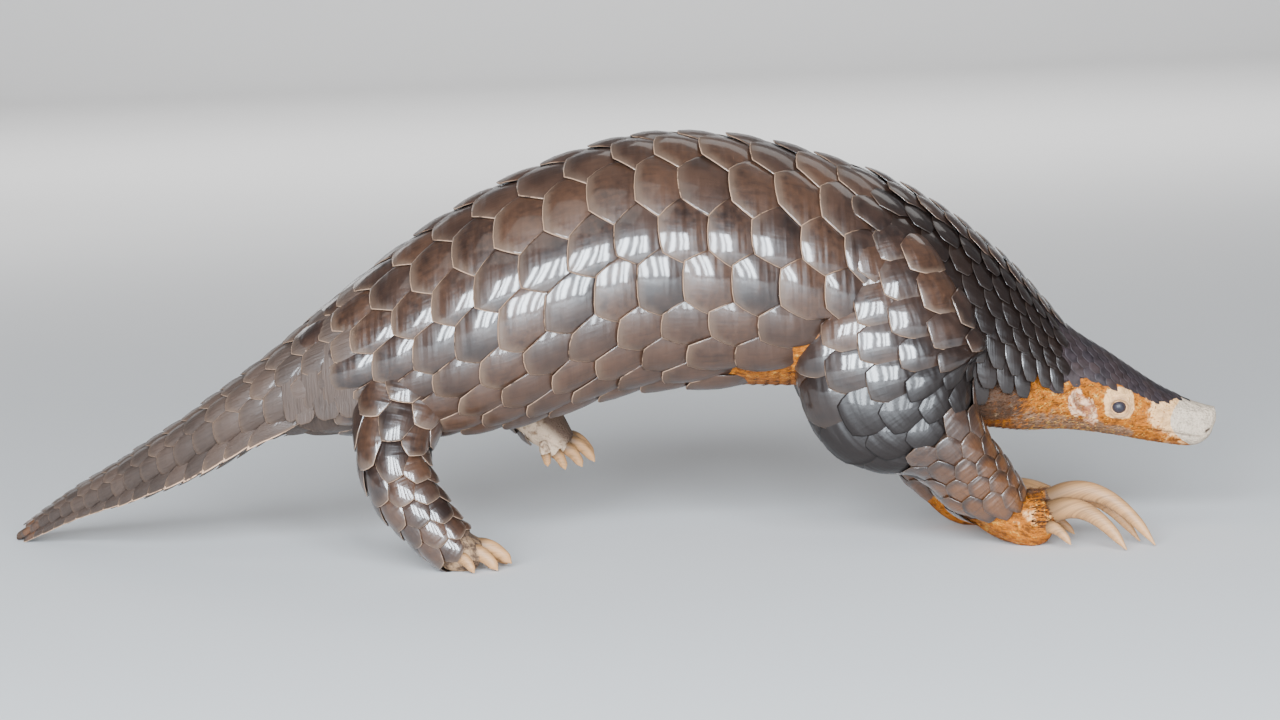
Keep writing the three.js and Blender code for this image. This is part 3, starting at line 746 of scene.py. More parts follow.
def fused(name, parts):
    """One mesh of several closed bmeshes."""
    whole = bpy.data.objects.new(name, mesh_of(parts[0], name))
    bpy.context.scene.collection.objects.link(whole)
    for bm in parts[1:]:
        part = bpy.data.objects.new(name + "_part", mesh_of(bm, name + "_part"))
        bpy.context.scene.collection.objects.link(part)
        join = whole.modifiers.new("join", "BOOLEAN")
        join.operation = "UNION"
        join.solver = "MANIFOLD"
        join.object = part
    graph = bpy.context.evaluated_depsgraph_get()
    mesh = bpy.data.meshes.new_from_object(whole.evaluated_get(graph))
    for made in [m.object for m in whole.modifiers] + [whole]:
        data = made.data
        bpy.data.objects.remove(made)
        bpy.data.meshes.remove(data)
    mesh.name = name
    return mesh


# Scales


def plate_template():
    """A flat closed plate with a round outline of radius 1. Its outline is shaped where it is used."""
    bm = bmesh.new()
    bmesh.ops.create_circle(bm, cap_ends=True, cap_tris=False, segments=PLATE_SIDES, radius=1.0)
    for item in bmesh.ops.extrude_face_region(bm, geom=bm.faces[:])["geom"]:
        if isinstance(item, bmesh.types.BMVert):
            item.co.z = 1.0
    bmesh.ops.recalc_face_normals(bm, faces=bm.faces)

    def top():
        """The round face on the upper side."""
        round_ones = [f for f in bm.faces if len(f.verts) == PLATE_SIDES]
        return max(round_ones, key=lambda f: f.calc_center_median().z)

    for thickness in (0.06, 0.28, 0.36):
        bmesh.ops.inset_region(bm, faces=[top()], thickness=thickness)
    bmesh.ops.poke(bm, faces=[top()])
    return mesh_of(bm, "plate")


class Lattice:
    """Scales in staggered rows round a form. It holds each scale's column, row, place and turn."""

    def __init__(self, form, start, end, rows, grows, stretch=1.0, seed=1, turns=(0, 1)):
        self.form = form
        self.rows = rows
        self.turns = np.array(turns, float)
        self.places = form.steps(start, end, stretch)
        kept = []
        half = rows // 2
        for row in range(1 - half, half + 1):
            turn = float(self.turned(2 * row / rows))
            for column in range(2 + row % 2, 2 * len(self.places) - 4, 2):
                place = self.place(column)
                if grows(float(form.size(place, X)), turn, place):
                    kept.append((column, row, turn))
        self.column, self.row, self.turn = np.array(kept, float).T
        self.at = self.place(self.column)
        self.random = np.random.default_rng(seed)
        self.seed = self.random.random(len(kept))

    def turned(self, share):
        """The turn at a share of the rows, which needn't all be as wide as each other."""
        even = np.linspace(0, 1, len(self.turns))
        beyond = share - np.clip(share, -1, 1)
        return np.sign(share) * np.interp(np.abs(share), even, self.turns) + beyond

    def place(self, column):
        """The place at a column, counted in half scales."""
        middle = np.asarray(column, float) / 2
        first = np.clip(np.floor(middle).astype(int), 0, len(self.places) - 2)
        return self.places[first] + (self.places[first + 1] - self.places[first]) * (middle - first)

    def size(self, column):
        """One number of the form's rings at each scale."""
        return self.form.size(self.at, column)


# Corners of a plate in its cell, counted in half scales along the rows and in thirds of a row across them.
# Hexagons have their free edge at the left, hanging leaves and round plates have it at the top.
HEXAGON = np.array(((2.3, -1.1), (2.3, 1.1), (0.05, 2.15), (-1.12, 1.05), (-1.12, -1.05), (0.05, -2.15)))
LEAF = np.array(((0.85, -2.1), (1.05, 0.4), (0.5, 2.2), (-0.55, 2.35), (-1.15, 0.5), (-0.9, -2.1)))
ROUND = np.array(((0.8, -2.5), (1.15, 0.7), (0.6, 2.5), (-0.7, 2.5), (-1.2, 0.5), (-0.8, -2.5)))
# How far a cell reaches from its middle to the free edge, and its whole length, for both kinds of plate.
EDGE_REACH, EDGE_SPAN = 1.16, 3.46
LEAF_REACH, LEAF_SPAN = 2.7, 5.6
# How unlike each other the plates are.
SIZE_SPREAD = 0.06
CORNER_SPREAD = 0.09
TWIST_SPREAD = 0.06
RISE_SPREAD = 0.2
BULGE = 0.035

# What the horn's material reads of each plate besides its own shape.
HORN_TONES = ("dull", "warm", "pale", "dark", "matt")
USUAL = {"leaf": 0.0, "hang": 0.0, "way": 1, "dull": 0.0, "warm": 0.0, "pale": 1.0, "dark": 0.0, "matt": 0.0}
WHOLE_MAP = (0.02, 0.02, 0.96, 0.5)
TAIL_MAP = (0.02, 0.55, 0.96, 0.2)


def boundary(corners):
    """The points round each plate: its corners in order, with bowed sides between them."""
    parts = np.arange(PLATE_SIDES)
    edge, share = parts // 3, (parts % 3)[:, None] / 3
    side = (np.roll(corners, -1, axis=1) - corners)[:, edge]
    out = np.stack((side[..., 1], -side[..., 0]), axis=-1)
    return corners[:, edge] + side * share + out * BULGE * 4 * share * (1 - share)


def low_edge(form):
    """The lower outline of the tail as it is seen from its right side: x, and height plus slope times y."""
    place, turn = np.meshgrid(np.linspace(0, TAIL_END + 1.5, 160), np.linspace(0.5, 1.5, 41))
    points = form.point(place, turn).reshape(-1, 3)
    seen = points[:, 2] + SIDE_SLOPE * points[:, 1]
    xs = np.linspace(points[:, 0].min() + 0.002, points[:, 0].max() - 0.002, 120)
    return xs, np.array([seen[np.abs(points[:, 0] - x) < 0.003].min() for x in xs])


def hung(form, place, turn, height, where, share):
    """Plates that hang straight down past the near side of a flat form, to its lower outline."""
    past = np.clip((np.abs(turn) - HANG_TURN) / HANG_SPAN, 0, HANG_MOST)
    from_side = form.point(place, np.sign(turn) * np.minimum(np.abs(turn), HANG_TURN), height)
    xs, edge = low_edge(form)
    bottom = np.interp(from_side[..., 0], xs, edge) - SIDE_SLOPE * from_side[..., 1]
    fall = past * np.maximum(from_side[..., 2] - bottom, 0)
    hanging = from_side - fall[..., None] * np.array((0, 0, 1))
    return where + (hanging - where) * share[..., None]


def spread(rng, count, amount):
    """A factor for each plate, up to an amount from 1."""
    return (1 + amount * (2 * rng.random(count) - 1))[:, None]


def plate_cells(corners, flat, rng):
    """Where each plate's vertices lie in its cell: a along the rows and b across, as the corners count."""
    count = len(corners)
    corners = corners * np.stack((spread(rng, count, SIZE_SPREAD), spread(rng, count, SIZE_SPREAD)), axis=-1)
    corners = corners + CORNER_SPREAD * (2 * rng.random((count, 6, 2)) - 1)
    radius = np.hypot(flat[:, 0], flat[:, 1])
    angle = np.arctan2(flat[:, 1], flat[:, 0])
    index = (np.round(angle / (2 * math.pi) * PLATE_SIDES - 0.5).astype(int) + 2) % PLATE_SIDES
    middle = corners.mean(axis=1)[:, None]
    local = middle + radius[None, :, None] * (boundary(corners)[:, index] - middle)
    a, b = local[..., 0], local[..., 1]
    twist = (2 * rng.random(count)[:, None] - 1) * TWIST_SPREAD
    return a + twist * b * 0.5, b - twist * a * 2


def plate_heights(a, b, leaf, heights, crown):
    """Heights over the form: a slope from the free edge to the root, and a crown in the middle."""
    rise, low, lean = heights
    level = rise + (low - rise) * (a + EDGE_REACH) / EDGE_SPAN + lean * b / 2.2
    hung_level = low + (rise - low) * (b + LEAF_REACH) / LEAF_SPAN - lean * a
    dome = np.clip(1 - (a / 1.6) ** 2, -0.5, 1) * (1 - (b / 2.7) ** 2)
    hung_dome = np.clip(1 - (a / 1.4) ** 2, -0.5, 1) * (1 - ((b - 0.2) / 3.5) ** 2)
    return level + (hung_level - level) * leaf + crown * (dome + (hung_dome - dome) * leaf)


def scales(name, lattice, template, shape, island):
    """A mesh of overlapping plates. The shape gives their corners, heights and tones."""
    count = len(lattice.column)
    flat = positions(template)
    radius = np.hypot(flat[:, 0], flat[:, 1])
    top = flat[:, 2] > 0.5
    shape = {**USUAL, "down": np.sign(lattice.turn + 1e-9), **shape}

    def each(value):
        return np.broadcast_to(value, (count,))[:, None].astype(float)

    a, b = plate_cells(np.broadcast_to(shape["corners"], (count, 6, 2)).astype(float), flat, lattice.random)
    leaf, hang = each(shape["leaf"]), each(shape["hang"])
    rise, low, lean = map(each, shape["heights"])
    rise = rise * spread(lattice.random, count, RISE_SPREAD)
    thick = each(shape["thick"]) * (1 - 0.6 * radius**4)
    height = plate_heights(a, b, leaf, (rise, low, lean), each(shape["crown"])) - np.where(top, 0, thick)
    place = lattice.place(lattice.column[:, None] + shape["way"] * a)
    turn = lattice.turned(2 * (lattice.row[:, None] + b * each(shape["down"]) / 3) / lattice.rows)
    where = lattice.form.point(place, turn, height)
    if hang.any():
        where = hung(lattice.form, place, turn, height, where, hang)
    mesh = copies(name, template, where, 0.0002)

    along = 0.5 - 0.5 * a / EDGE_REACH
    along = np.clip(along + ((b + LEAF_REACH) / LEAF_SPAN - along) * leaf, 0, 1)
    tones = {
        "along": along,
        "across": 0.5 + 0.25 * b + (0.5 * a - 0.25 * b) * leaf,
        "worn": np.clip(0.5 - 0.45 * a * (1 - hang) + (0.1 + 0.12 * hang) * b, 0, 1),
        "rim": np.where(top, 1 - radius, -0.2),
        "seed": lattice.seed[:, None],
        **{key: each(shape[key]) for key in HORN_TONES},
    }
    for key, values in tones.items():
        give(mesh, key, np.broadcast_to(values, a.shape).ravel())
    low_u, low_v, wide_u, wide_v = island
    along_map = low_u + wide_u * lattice.at / lattice.form.last
    bake_patches(mesh, np.stack((along_map, low_v + wide_v * (lattice.turn + 1) / 2), axis=-1), flat)
    return mesh


# Settings


def colour(name, value, description):
    return bpy.props.FloatVectorProperty(
        name=name, description=description, subtype="COLOR", size=3, min=0, max=1, default=value
    )


def number(name, description, default, low, high, **kind):
    return bpy.props.FloatProperty(
        name=name, description=description, default=default, min=low, max=high, **kind
    )


class PangolinColours(bpy.types.PropertyGroup):
    """Colours of the animal."""

    scale_dark: colour("Dark scale", (0.014, 0.007, 0.005), "Darkest horn of the scales")
    scale_light: colour("Light scale", (0.044, 0.022, 0.014), "Lighter horn of the scales")
    scale_warm: colour("Warm scale", (0.085, 0.037, 0.018), "Warmer horn that some scales take")
    scale_amber: colour("Amber scale", (0.16, 0.058, 0.016), "Lower front legs and the tip of the tail")
    rim: colour("Scale rim", (0.36, 0.22, 0.14), "Thin worn free edges")
    tail_grey: colour("Tail scale", (0.086, 0.056, 0.042), "Dull grey-brown of the tail's scales")
    cap: colour("Crown", (0.021, 0.0145, 0.0165), "Small dark scales over the head")
    ochre: colour("Ochre skin", (0.39, 0.108, 0.002), "Cheeks and throat")
    pale: colour("Pale hair", (0.64, 0.34, 0.06), "Palest spots on cheeks and throat")
    cream: colour("Cream skin", (0.82, 0.46, 0.205), "Round the eye and on the snout")
    grey: colour("Grey skin", (0.20, 0.13, 0.085), "Underside of the jaw")
    dark: colour("Dark skin", (0.10, 0.06, 0.04), "Skin between the scales")
    lid_rim: colour("Lid rim", (0.30, 0.17, 0.11), "Ring round the eyeball")
    ear_shade: colour("Dark ear", (0.36, 0.14, 0.07), "Hollows of the ear")
    ear_highlight: colour("Light ear", (0.84, 0.54, 0.34), "Folds of the ear")
    toe_dark: colour("Dark toe", (0.07, 0.04, 0.025), "Dark spots of the near hind foot")
    toe_light: colour("Light toe", (0.36, 0.22, 0.12), "Light spots of the near hind foot")
    sole_dark: colour("Dark sole", (0.24, 0.14, 0.08), "Dark spots of the lifted sole")
    sole_light: colour("Light sole", (0.64, 0.46, 0.32), "Light spots of the lifted sole")
    nose: colour("Nose", (0.58, 0.455, 0.335), "The nose pad")
    claw: colour("Claw", (0.44, 0.225, 0.09), "Horn of the claws")
    eye: colour("Eye", (0.012, 0.011, 0.015), "The eyeball")
    floor: colour("Floor", (0.76, 0.75, 0.74), "The studio's floor and wall")


class PangolinSizes(bpy.types.PropertyGroup):
    """Sizes of the coat, in millimetres."""

    lift: number("Scale lift", "Height of a scale's free edge over the skin's outline", 2.7, 1, 6)
    crown: number("Scale crown", "How far the middle of a scale bulges", 4.0, 0, 6)
    thick: number("Scale thickness", "Thickness of the scales", 1.4, 0.5, 3)


class PangolinStudio(bpy.types.PropertyGroup):
    """Camera and lights. A light's power is in watts."""

    distance: number(
        "Camera distance", "From the camera to the middle of the animal", 2.4, 1, 6,
        subtype="DISTANCE", unit="LENGTH",
    )
    pitch: number(
        "Camera pitch", "How far the camera looks down", math.radians(6.5), -0.5, 1.5, subtype="ANGLE"
    )
    roll: number(
        "Camera roll", "How far the picture is turned", math.atan(0.0384), -0.5, 0.5, subtype="ANGLE"
    )
    lens: number("Lens", "Focal length in millimetres", 108.9, 20, 300)
    key: number("Key light", "Power of the light over the animal", 7.0, 0, 400)
    front: number("Front light", "Power of the strips behind the camera, together", 440.0, 0, 600)
    back: number("Back light", "Power of the light from behind", 7.0, 0, 400)
    far: number("Far light", "Power of the light on the far side", 9.0, 0, 400)
    backdrop: number("Backdrop light", "Power of the light on the wall", 260.0, 0, 600)


def settings():
    """The colours, the sizes and the studio."""
    scene = bpy.context.scene
    return scene.pangolin_colours, scene.pangolin_sizes, scene.pangolin_studio


# Pieces


def skin_tones(mesh):
    """Keeps a skin clear of the floor and gives it the numbers that say where each tone lies."""
    where = positions(mesh)
    where[:, 2] = np.maximum(where[:, 2], 0.0001)
    mesh.vertices.foreach_set("co", where.astype(np.float32).ravel())
    x, y, z = (where / MM - SHIFT).T
    side = np.abs(y)
    rise = (z - body_at(x, Z)) / np.maximum(body_at(x, HIGH), 1)
    turn = np.arccos(np.clip(rise, -1, 1)) / math.pi
    high_up = z > HEAD_LOW
    head = smooth(x, 195, 212) * high_up

    def near(fold, wide):
        return np.exp(-((distance_to(fold[0], x, z) / wide) ** 2))

    crown = smooth(np.interp(x, CROWN_AT, CROWN_LIMIT) - turn, -0.01, 0.03)
    lid = (1 - smooth(oval(x, z, LID_PATCH, 3), 0.5, 1.1)) * (side > 8)
    snout = smooth(x, 302, 328) * (1 - 0.6 * smooth(-rise, 0.1, 0.8))
    palm = np.exp(-oval(x, z, PALM_PATCH)) * (z < HEAD_LOW)
    # Painted shade in the line of the mouth, the nostril and the ear's crease.
    crease_shade = near(MOUTH, 0.7) * 0.45 + near(NOSTRIL, 0.8) + near(EAR_CREASE, 1.3) * 0.6
    front_ear = oval(x + (z - EAR_FRONT_PATCH[1]) * 0.25, z, EAR_FRONT_PATCH)
    ear = np.minimum(oval(x, z, EAR_BACK_PATCH), front_ear)
    ring = np.hypot(x - GAZE[0], z - GAZE[2])
    front_foot = (x > 150) * (1 - smooth(z - wrist_line(x), -4, 3)) * (side > 20)
    front_foot = front_foot * (1 - smooth(x, 240, 247) * smooth(z, 20, 26))
    armpit = np.exp(-oval(x, z, ARMPIT))
    lifted_sole = -0.70 * (x + 62) - 0.72 * (z - 71)
    tones = {
        "crown": smooth(x, 235, 250) * crown * (x < 340),
        "ochre": head,
        "cream": np.clip(lid + snout + 0.45 * palm, 0, 1),
        "grey": head * (1 - smooth(rise, -0.85, -0.5)) * (1 - smooth(x, 296, 312)) * smooth(x, 215, 240),
        "nose": smooth(x - pad_border(z), -1.2, 1.2) * high_up,
        "shade": head * (1 - smooth(x, 220, 246)) * smooth(z, 71, 81),
        "crease_shade": np.clip(crease_shade, 0, 1) * (x > FACE_START) * (side > 3),
        "pink": (1 - smooth(ear, 0.2, 1.5)) * (side > 8),
        "bare": np.clip(front_foot + armpit, 0, 1),
        "brown": (x < -60) * (1 - smooth(z, 12, 30)) * (y < -20),
        "sole": smooth(lifted_sole, -5, 3) * (y > 25) * (x > -112) * (x < -30) * (z < 116),
        "rim": np.exp(-(((ring - 5.9) / 0.9) ** 2)) * (side > 8) * (x > FACE_START),
    }
    for key, values in tones.items():
        give(mesh, key, values)


SKIN_TONES = ("crown", "ochre", "cream", "grey", "nose", "shade")
SKIN_TONES += ("crease_shade", "pink", "bare", "brown", "sole", "rim")


def skin_finish(colours):
    """Bare skin: ochre and cream on the head, grey under the jaw, ochre and pale soles, dark elsewhere."""
    finish = Finish("pangolin_skin", ior=1.34)
    crown, ochre, cream, grey, nose, shade = map(finish.attribute, SKIN_TONES[:6])
    crease_shade, pink, bare, brown, sole, rim = map(finish.attribute, SKIN_TONES[6:])
    coarse = finish.noise(170.0, 5.0, rough=0.65)
    longer = {"Vector": finish.coordinates, "Scale": (0.35, 1, 1)}
    stretched = node(finish.tree, "ShaderNodeMapping", {}, longer)
    streaks = finish.noise(520.0, 4.0, stretched, rough=0.6)
    fine = finish.noise(900.0, 3.0)
    ragged = coarse - 0.5

    # Dark skin, and ochre where it is bare, with pale and dark specks.
    warm_spots = (streaks * 0.5 + coarse * 0.5).above(0.4, 0.52)
    warm = finish.mix(paint(colours.ochre, 0.36), paint(colours.ochre), warm_spots)
    warm = finish.mix(warm, paint(colours.pale), (coarse * 0.6 + fine * 0.4).above(0.53, 0.64) * 0.8)
    finish.base = paint(colours.dark)
    finish.cover(warm, (ochre + bare + ragged * 0.8).above(0.3, 0.7))
    specks = (fine * 0.5 + streaks * 0.5).above(0.56, 0.63)
    finish.cover(paint(colours.dark, 0.7), specks * (ochre + bare).above(0.3, 0.7) * 0.7)
    finish.cover(paint(colours.dark, 0.45), (shade + ragged).above(0.2, 0.6) * 0.92)

    # Jaw, lids and snout, ears with painted shade and highlights, feet.
    jaw = finish.mix(paint(colours.grey, 0.5), paint(colours.grey), streaks.above(0.38, 0.55))
    finish.cover(jaw, (grey + ragged * 2.4).above(0.3, 0.8) * 0.8)
    pale_spots = (coarse + streaks - 0.5).above(0.3, 0.65)
    pale = finish.mix(paint(colours.cream, 0.72), paint(colours.cream), pale_spots)
    finish.cover(pale, (cream + ragged * 1.8).above(0.3, 0.7))
    # Painted light on the ear: a darker red copy of its pink skin stands for shade in the hollows, and a
    # pale cream copy for highlights on the folds. Noise spreads them.
    flush = finish.mix(paint(colours.ear_shade), paint(colours.ear_highlight), coarse.above(0.4, 0.58))
    finish.cover(flush, (pink + ragged * 1.8).above(0.3, 0.7) * 0.85)
    toes = finish.mix(paint(colours.toe_dark), paint(colours.toe_light), coarse.above(0.4, 0.6))
    finish.cover(toes, brown)
    lifted = finish.mix(paint(colours.sole_dark), paint(colours.sole_light), coarse.above(0.32, 0.52))
    finish.cover(lifted, sole)

    # Nose pad, crown, rims, and painted shade in the creases of the mouth, the nostril and the ear.
    pores = (fine * 0.6 + coarse * 0.4).above(0.4, 0.54)
    pad = finish.mix(paint(colours.nose, 0.66), paint(colours.nose), pores)
    finish.cover(pad, (nose + ragged * 1.2).above(0.35, 0.65))
    finish.cover(paint(colours.cap, 0.8), (crown + ragged * 1.4).above(0.4, 0.6))
    finish.cover(paint(colours.lid_rim), rim * 0.55)
    finish.cover(paint(colours.dark, 0.5), crease_shade)
    height = coarse * 1.6 + streaks * 0.7 + fine * 0.4 + finish.wrinkles(420.0) * 0.4
    return finish.done(roughness=0.6 - nose * 0.18 + fine * 0.14, normal=finish.bump(height, 0.0018, 0.9))


class PANGOLIN_OT_skin(bpy.types.Operator):
    """Makes the one skin under the scales, with the bare face, throat and soles"""

    bl_idname = "pangolin.skin"
    bl_label = "Skin"

    def execute(self, context):
        colours, _, _ = settings()
        parts = [body_skin()]
        replaced = ["tail_base", "tail_end", "torso_rear", "torso_front", "neck", "head", "nose"]
        replaced += ["ear_right", "ear_left"]
        for leg, form in LEGS.items():
            parts.append(leg_skin(form))
            parts += [toe_skin(toe_form(claw)) for claw in CLAWS[leg]]
            pair, side = leg.split("_")
            replaced += [f"{pair}_leg_{side}", f"{pair}_foot_{side}"]
        mesh = fused("skin", parts)
        skin_tones(mesh)
        finished("skin", mesh, skin_finish(colours), "head_skin", replaced)
        return {"FINISHED"}


def within_body(point):
    """How far out a point in metres lies in the body's section, where 1 is the surface."""
    x, y, z = point / MM - SHIFT
    return np.hypot(y / body_at(x, WIDE), (z - body_at(x, Z)) / body_at(x, HIGH))


def on_body(x, turn, place):
    """Whether a scale of the body grows there."""
    return abs(turn) <= np.interp(x, COAT_AT, COAT_LIMIT)


def on_leg(form):
    """A test of whether a leg's scale grows: outside, clear of the body and over the bare foot."""

    def grows(x, turn, place):
        here = form.point(place, turn)
        x, _, z = here / MM - SHIFT
        return abs(turn) <= LEG_COAT_TURN and within_body(here) > 0.97 and (x < 120 or z > wrist_line(x))

    return grows


def body_shape(lattice, sizes):
    """The body's domed hexagons, which turn to hanging leaves at the sides of the tail's root."""
    x = lattice.size(X)
    side = np.abs(lattice.turn)
    fan = (1 - smooth(x, -188, -174)) * smooth(side, 0.34, 0.44)
    skirt = smooth(side, 0.62, 0.78) * (1 - smooth(x, 100, 140)) * (1 - fan)
    narrow = smooth(x, 95, 150) * 0.5 * smooth(side, 0.08, 0.2)
    worn_rump = 0.5 * (1 - smooth(x, -110, -40)) * smooth(side, 0.3, 0.5) * (1 - fan)
    matt = np.clip(smooth(side, 0.5, 0.66) + 0.7 * (1 - smooth(side, 0.2, 0.34)), 0, 1)
    corners = np.broadcast_to(HEXAGON, (len(x), 6, 2)).copy()
    corners[:, 2:4, 1] += 0.5 * skirt[:, None]
    corners = corners + (LEAF - corners) * fan[:, None, None]
    corners[:, 2, 1] += 1.6 * fan + 0.5 * narrow
    return {
        "corners": corners,
        "leaf": fan,
        "heights": (sizes.lift + 0.3 * fan, -2.6, 0.9 * skirt + 0.6 * narrow),
        "crown": sizes.crown * (1 - 0.6 * fan) * (1 + 0.15 * smooth(side, 0.4, 0.55)),
        "thick": sizes.thick,
        "dull": fan,
        "matt": matt * smooth(x, -170, -120),
        "pale": 1 - 0.5 * fan + worn_rump,
    }


def neck_shape(lattice, sizes):
    """Hanging leaves on the sides of the neck, which turn to hexagons on its top."""
    x = lattice.size(X)
    leaf = smooth(np.abs(lattice.turn), 0.04, 0.16) * smooth(x, 138, 168)
    small = np.interp(x, (150, 262), (1, 0.72))
    return {
        "corners": HEXAGON + (LEAF - HEXAGON) * leaf[:, None, None],
        "leaf": leaf,
        "heights": ((sizes.lift + 0.2) * small, -2.4 * small, 0.8 * leaf * small),
        "crown": sizes.crown * (1 - 0.3 * leaf) * small,
        "thick": sizes.thick * 0.8 * small,
        "dull": 0.12 * leaf,
        "dark": 0.88 * leaf,
        "pale": 1 - 0.45 * leaf,
    }


def fan_shape(lattice):
    """Long dull leaves over the root of the tail, which hang on the near side."""
    return {
        "corners": LEAF * (0.95, 3.0),
        "leaf": 1.0,
        "heights": (4.8, 3.2, 0.5),
        "crown": 0.6,
        "hang": 1.0 * (lattice.turn < 0),
        "thick": 1.2,
        "dull": 1.0,
        "pale": 0.3,
    }


def tail_shape(lattice):
    """Dull hexagons, flat under the tail, with a hanging row of pale-edged ones along the near margin."""
    x = lattice.size(X)
    side = np.abs(lattice.turn)
    narrow = np.clip(lattice.size(HIGH) / 18, 0.35, 1)
    margin = 1.0 * (np.abs(lattice.turn + MARGIN_TURN) < 0.05) * (x < TAIL_ROOT)
    under = (side > 0.85) + 0.65 * (np.abs(side - MARGIN_TURN) < 0.05) * (1 - margin)
    far_out = 1 - smooth(x, -400, -340)
    tip = 1 - smooth(x, -400, -380)
    corners = np.broadcast_to(HEXAGON, (len(x), 6, 2)).copy()
    corners[:, 3, 0] -= 0.7 * margin
    corners[:, 2, 1] += 0.2 * margin
    corners[:, 3, 1] += 1.5 * margin
    return {
        "corners": corners,
        "heights": ((3.1 - 2.9 * under) * narrow, -1.9 * narrow, 0.5 * margin * narrow),
        "crown": (2.9 - 2.5 * under) * narrow,
        "hang": margin,
        "thick": 1.0 * narrow,
        "dull": (0.8 - 0.2 * far_out) * (1 - 0.8 * tip),
        "warm": 0.8 * tip,
        "pale": 0.8 + 1.2 * margin,
    }


def leg_shape(lattice, way, down):
    """Round plates that point back on the shoulder, and hexagons on the rest of the legs."""
    back, up = way == "back", way == "up"
    small = np.clip(lattice.size(LENGTH) / 24, 0.5, 1)
    return {
        "corners": ROUND if back else HEXAGON,
        "leaf": 1.0 * back,
        "heights": (2.8 * small, -2.2 * small, 0.3 * back),
        "crown": (4.0 if back else 3.6) * small,
        "thick": 1.2 * small,
        "way": -1 if up else 1,
        "down": down,
        "pale": 0.25 if up else 1.0,
        "dark": back * (1 - smooth(lattice.at, 5.0, 5.6)),
        "matt": 0.8 * back * (1 - smooth(lattice.at, 4.9, 5.3)),
        "warm": 0.5 * up * (1 - smooth(lattice.at, 3.2, 4.4)),
    }


# Each leg's coats: leg, part, first and last place, rows, the way the free edges point, and the stretch.
LEG_COATS = (
    ("front_right", "lower", 1.6, 4.75, 12, "up", 1.0),
    ("front_right", "upper", 4.1, 7.0, 12, "back", 0.86),
    ("front_left", "lower", 1.6, 4.75, 12, "up", 1.0),
    ("front_left", "upper", 4.1, 7.0, 12, "back", 0.86),
    ("hind_right", "", 0.6, 7.0, 8, "down", 0.95),
    ("hind_left", "", 0.6, 5.0, 8, "down", 0.95),
)


class PANGOLIN_OT_scales(bpy.types.Operator):
    """Makes the overlapping scales of the body, the tail and the legs"""

    bl_idname = "pangolin.scales"
    bl_label = "Scales"

    def execute(self, context):
        colours, sizes, _ = settings()
        template = plate_template()
        horn = horn_finish(colours)

        def coat(name, slot, lattice, shape, island=WHOLE_MAP):
            mesh = scales(name, lattice, template, shape, island)
            finished(name, mesh, horn, slot)

        def on_trunk(x, turn, place):
            return TAIL_ROOT < x < NECK_START and on_body(x, turn, place)

        def on_neck(x, turn, place):
            return x > NECK_START - 8 and on_body(x, turn, place)

        def on_fan(x, turn, place):
            return FAN_FROM < x < FAN_TO and FAN_TURNS[0] < abs(turn) < FAN_TURNS[1]

        def on_tail(x, turn, place):
            return True

        trunk = (TAIL_END - 0.5, COAT_END, BODY_ROWS)
        body = Lattice(BODY, *trunk, on_trunk, seed=5, turns=ROW_TURNS)
        coat("scales_body", "back_scale", body, body_shape(body, sizes))
        fan = Lattice(BODY, *trunk, on_fan, FAN_STRETCH, seed=9, turns=ROW_TURNS)
        coat("scales_fan", "tail_scale", fan, fan_shape(fan))
        neck = Lattice(BODY, NECK_PLACE, COAT_END, NECK_ROWS, on_neck, seed=8)
        coat("scales_neck", "back_scale", neck, neck_shape(neck, sizes))
        tail = Lattice(BODY, 0.1, TAIL_END + 0.6, TAIL_ROWS, on_tail, TAIL_STRETCH, seed=6, turns=TAIL_TURNS)
        coat("scales_tail", "tail_scale", tail, tail_shape(tail), TAIL_MAP)

        for index, (leg, part, start, end, rows, way, stretch) in enumerate(LEG_COATS):
            form = LEGS[leg]
            lattice = Lattice(form, start, end, rows, on_leg(form), stretch, seed=11 + index)
            name = "_".join(word for word in ("scales", leg, part) if word)
            shape = leg_shape(lattice, way, 1.0 if leg.endswith("right") else -1.0)
            coat(name, "leg_scale", lattice, shape, (0.02 + 0.16 * index, 0.78, 0.14, 0.2))
        bpy.data.meshes.remove(template)
        return {"FINISHED"}


class PANGOLIN_OT_crown(bpy.types.Operator):
    """Makes the small dark scales over the crown and down the nose"""

    bl_idname = "pangolin.crown"
    bl_label = "Crown"

    def execute(self, context):
        colours, _, _ = settings()
        jitter = np.random.default_rng(3)

        def on_head(x, turn, place):
            if not FACE_START < x < CROWN_AT[-1]:
                return False
            limit = np.interp(x, CROWN_AT, CROWN_LIMIT)
            return abs(turn) <= limit - 0.01 + 0.05 * (jitter.random() - 0.5)

        lattice = Lattice(BODY, 12.2, 17.2, CROWN_ROWS, on_head, seed=21)
        shape = {"corners": HEXAGON, "heights": (0.55, -0.45, 0.1), "crown": 0.3, "thick": 0.45}
        template = plate_template()
        mesh = scales("scales_crown", lattice, template, shape, WHOLE_MAP)
        bpy.data.meshes.remove(template)
        finish = Finish("pangolin_crown", ior=1.5)
        along, rim, seed = map(finish.attribute, ("along", "rim", "seed"))
        noise = finish.noise(260.0, 4.0)
        light = paint(colours.cap, 1.5)
        finish.base = paint(colours.cap, 0.6)
        finish.cover(light, noise.above(0.3, 0.7))
        finish.cover(paint(colours.scale_warm), seed * 0.15)
        finish.cover(light, (1 - rim.above(0.02, 0.2)) * along * 0.5)
        horn = finish.done(roughness=0.42 + noise * 0.2, normal=finish.bump(noise, 0.0004, 0.7))
        finished("scales_crown", mesh, horn, "back_scale")
        return {"FINISHED"}


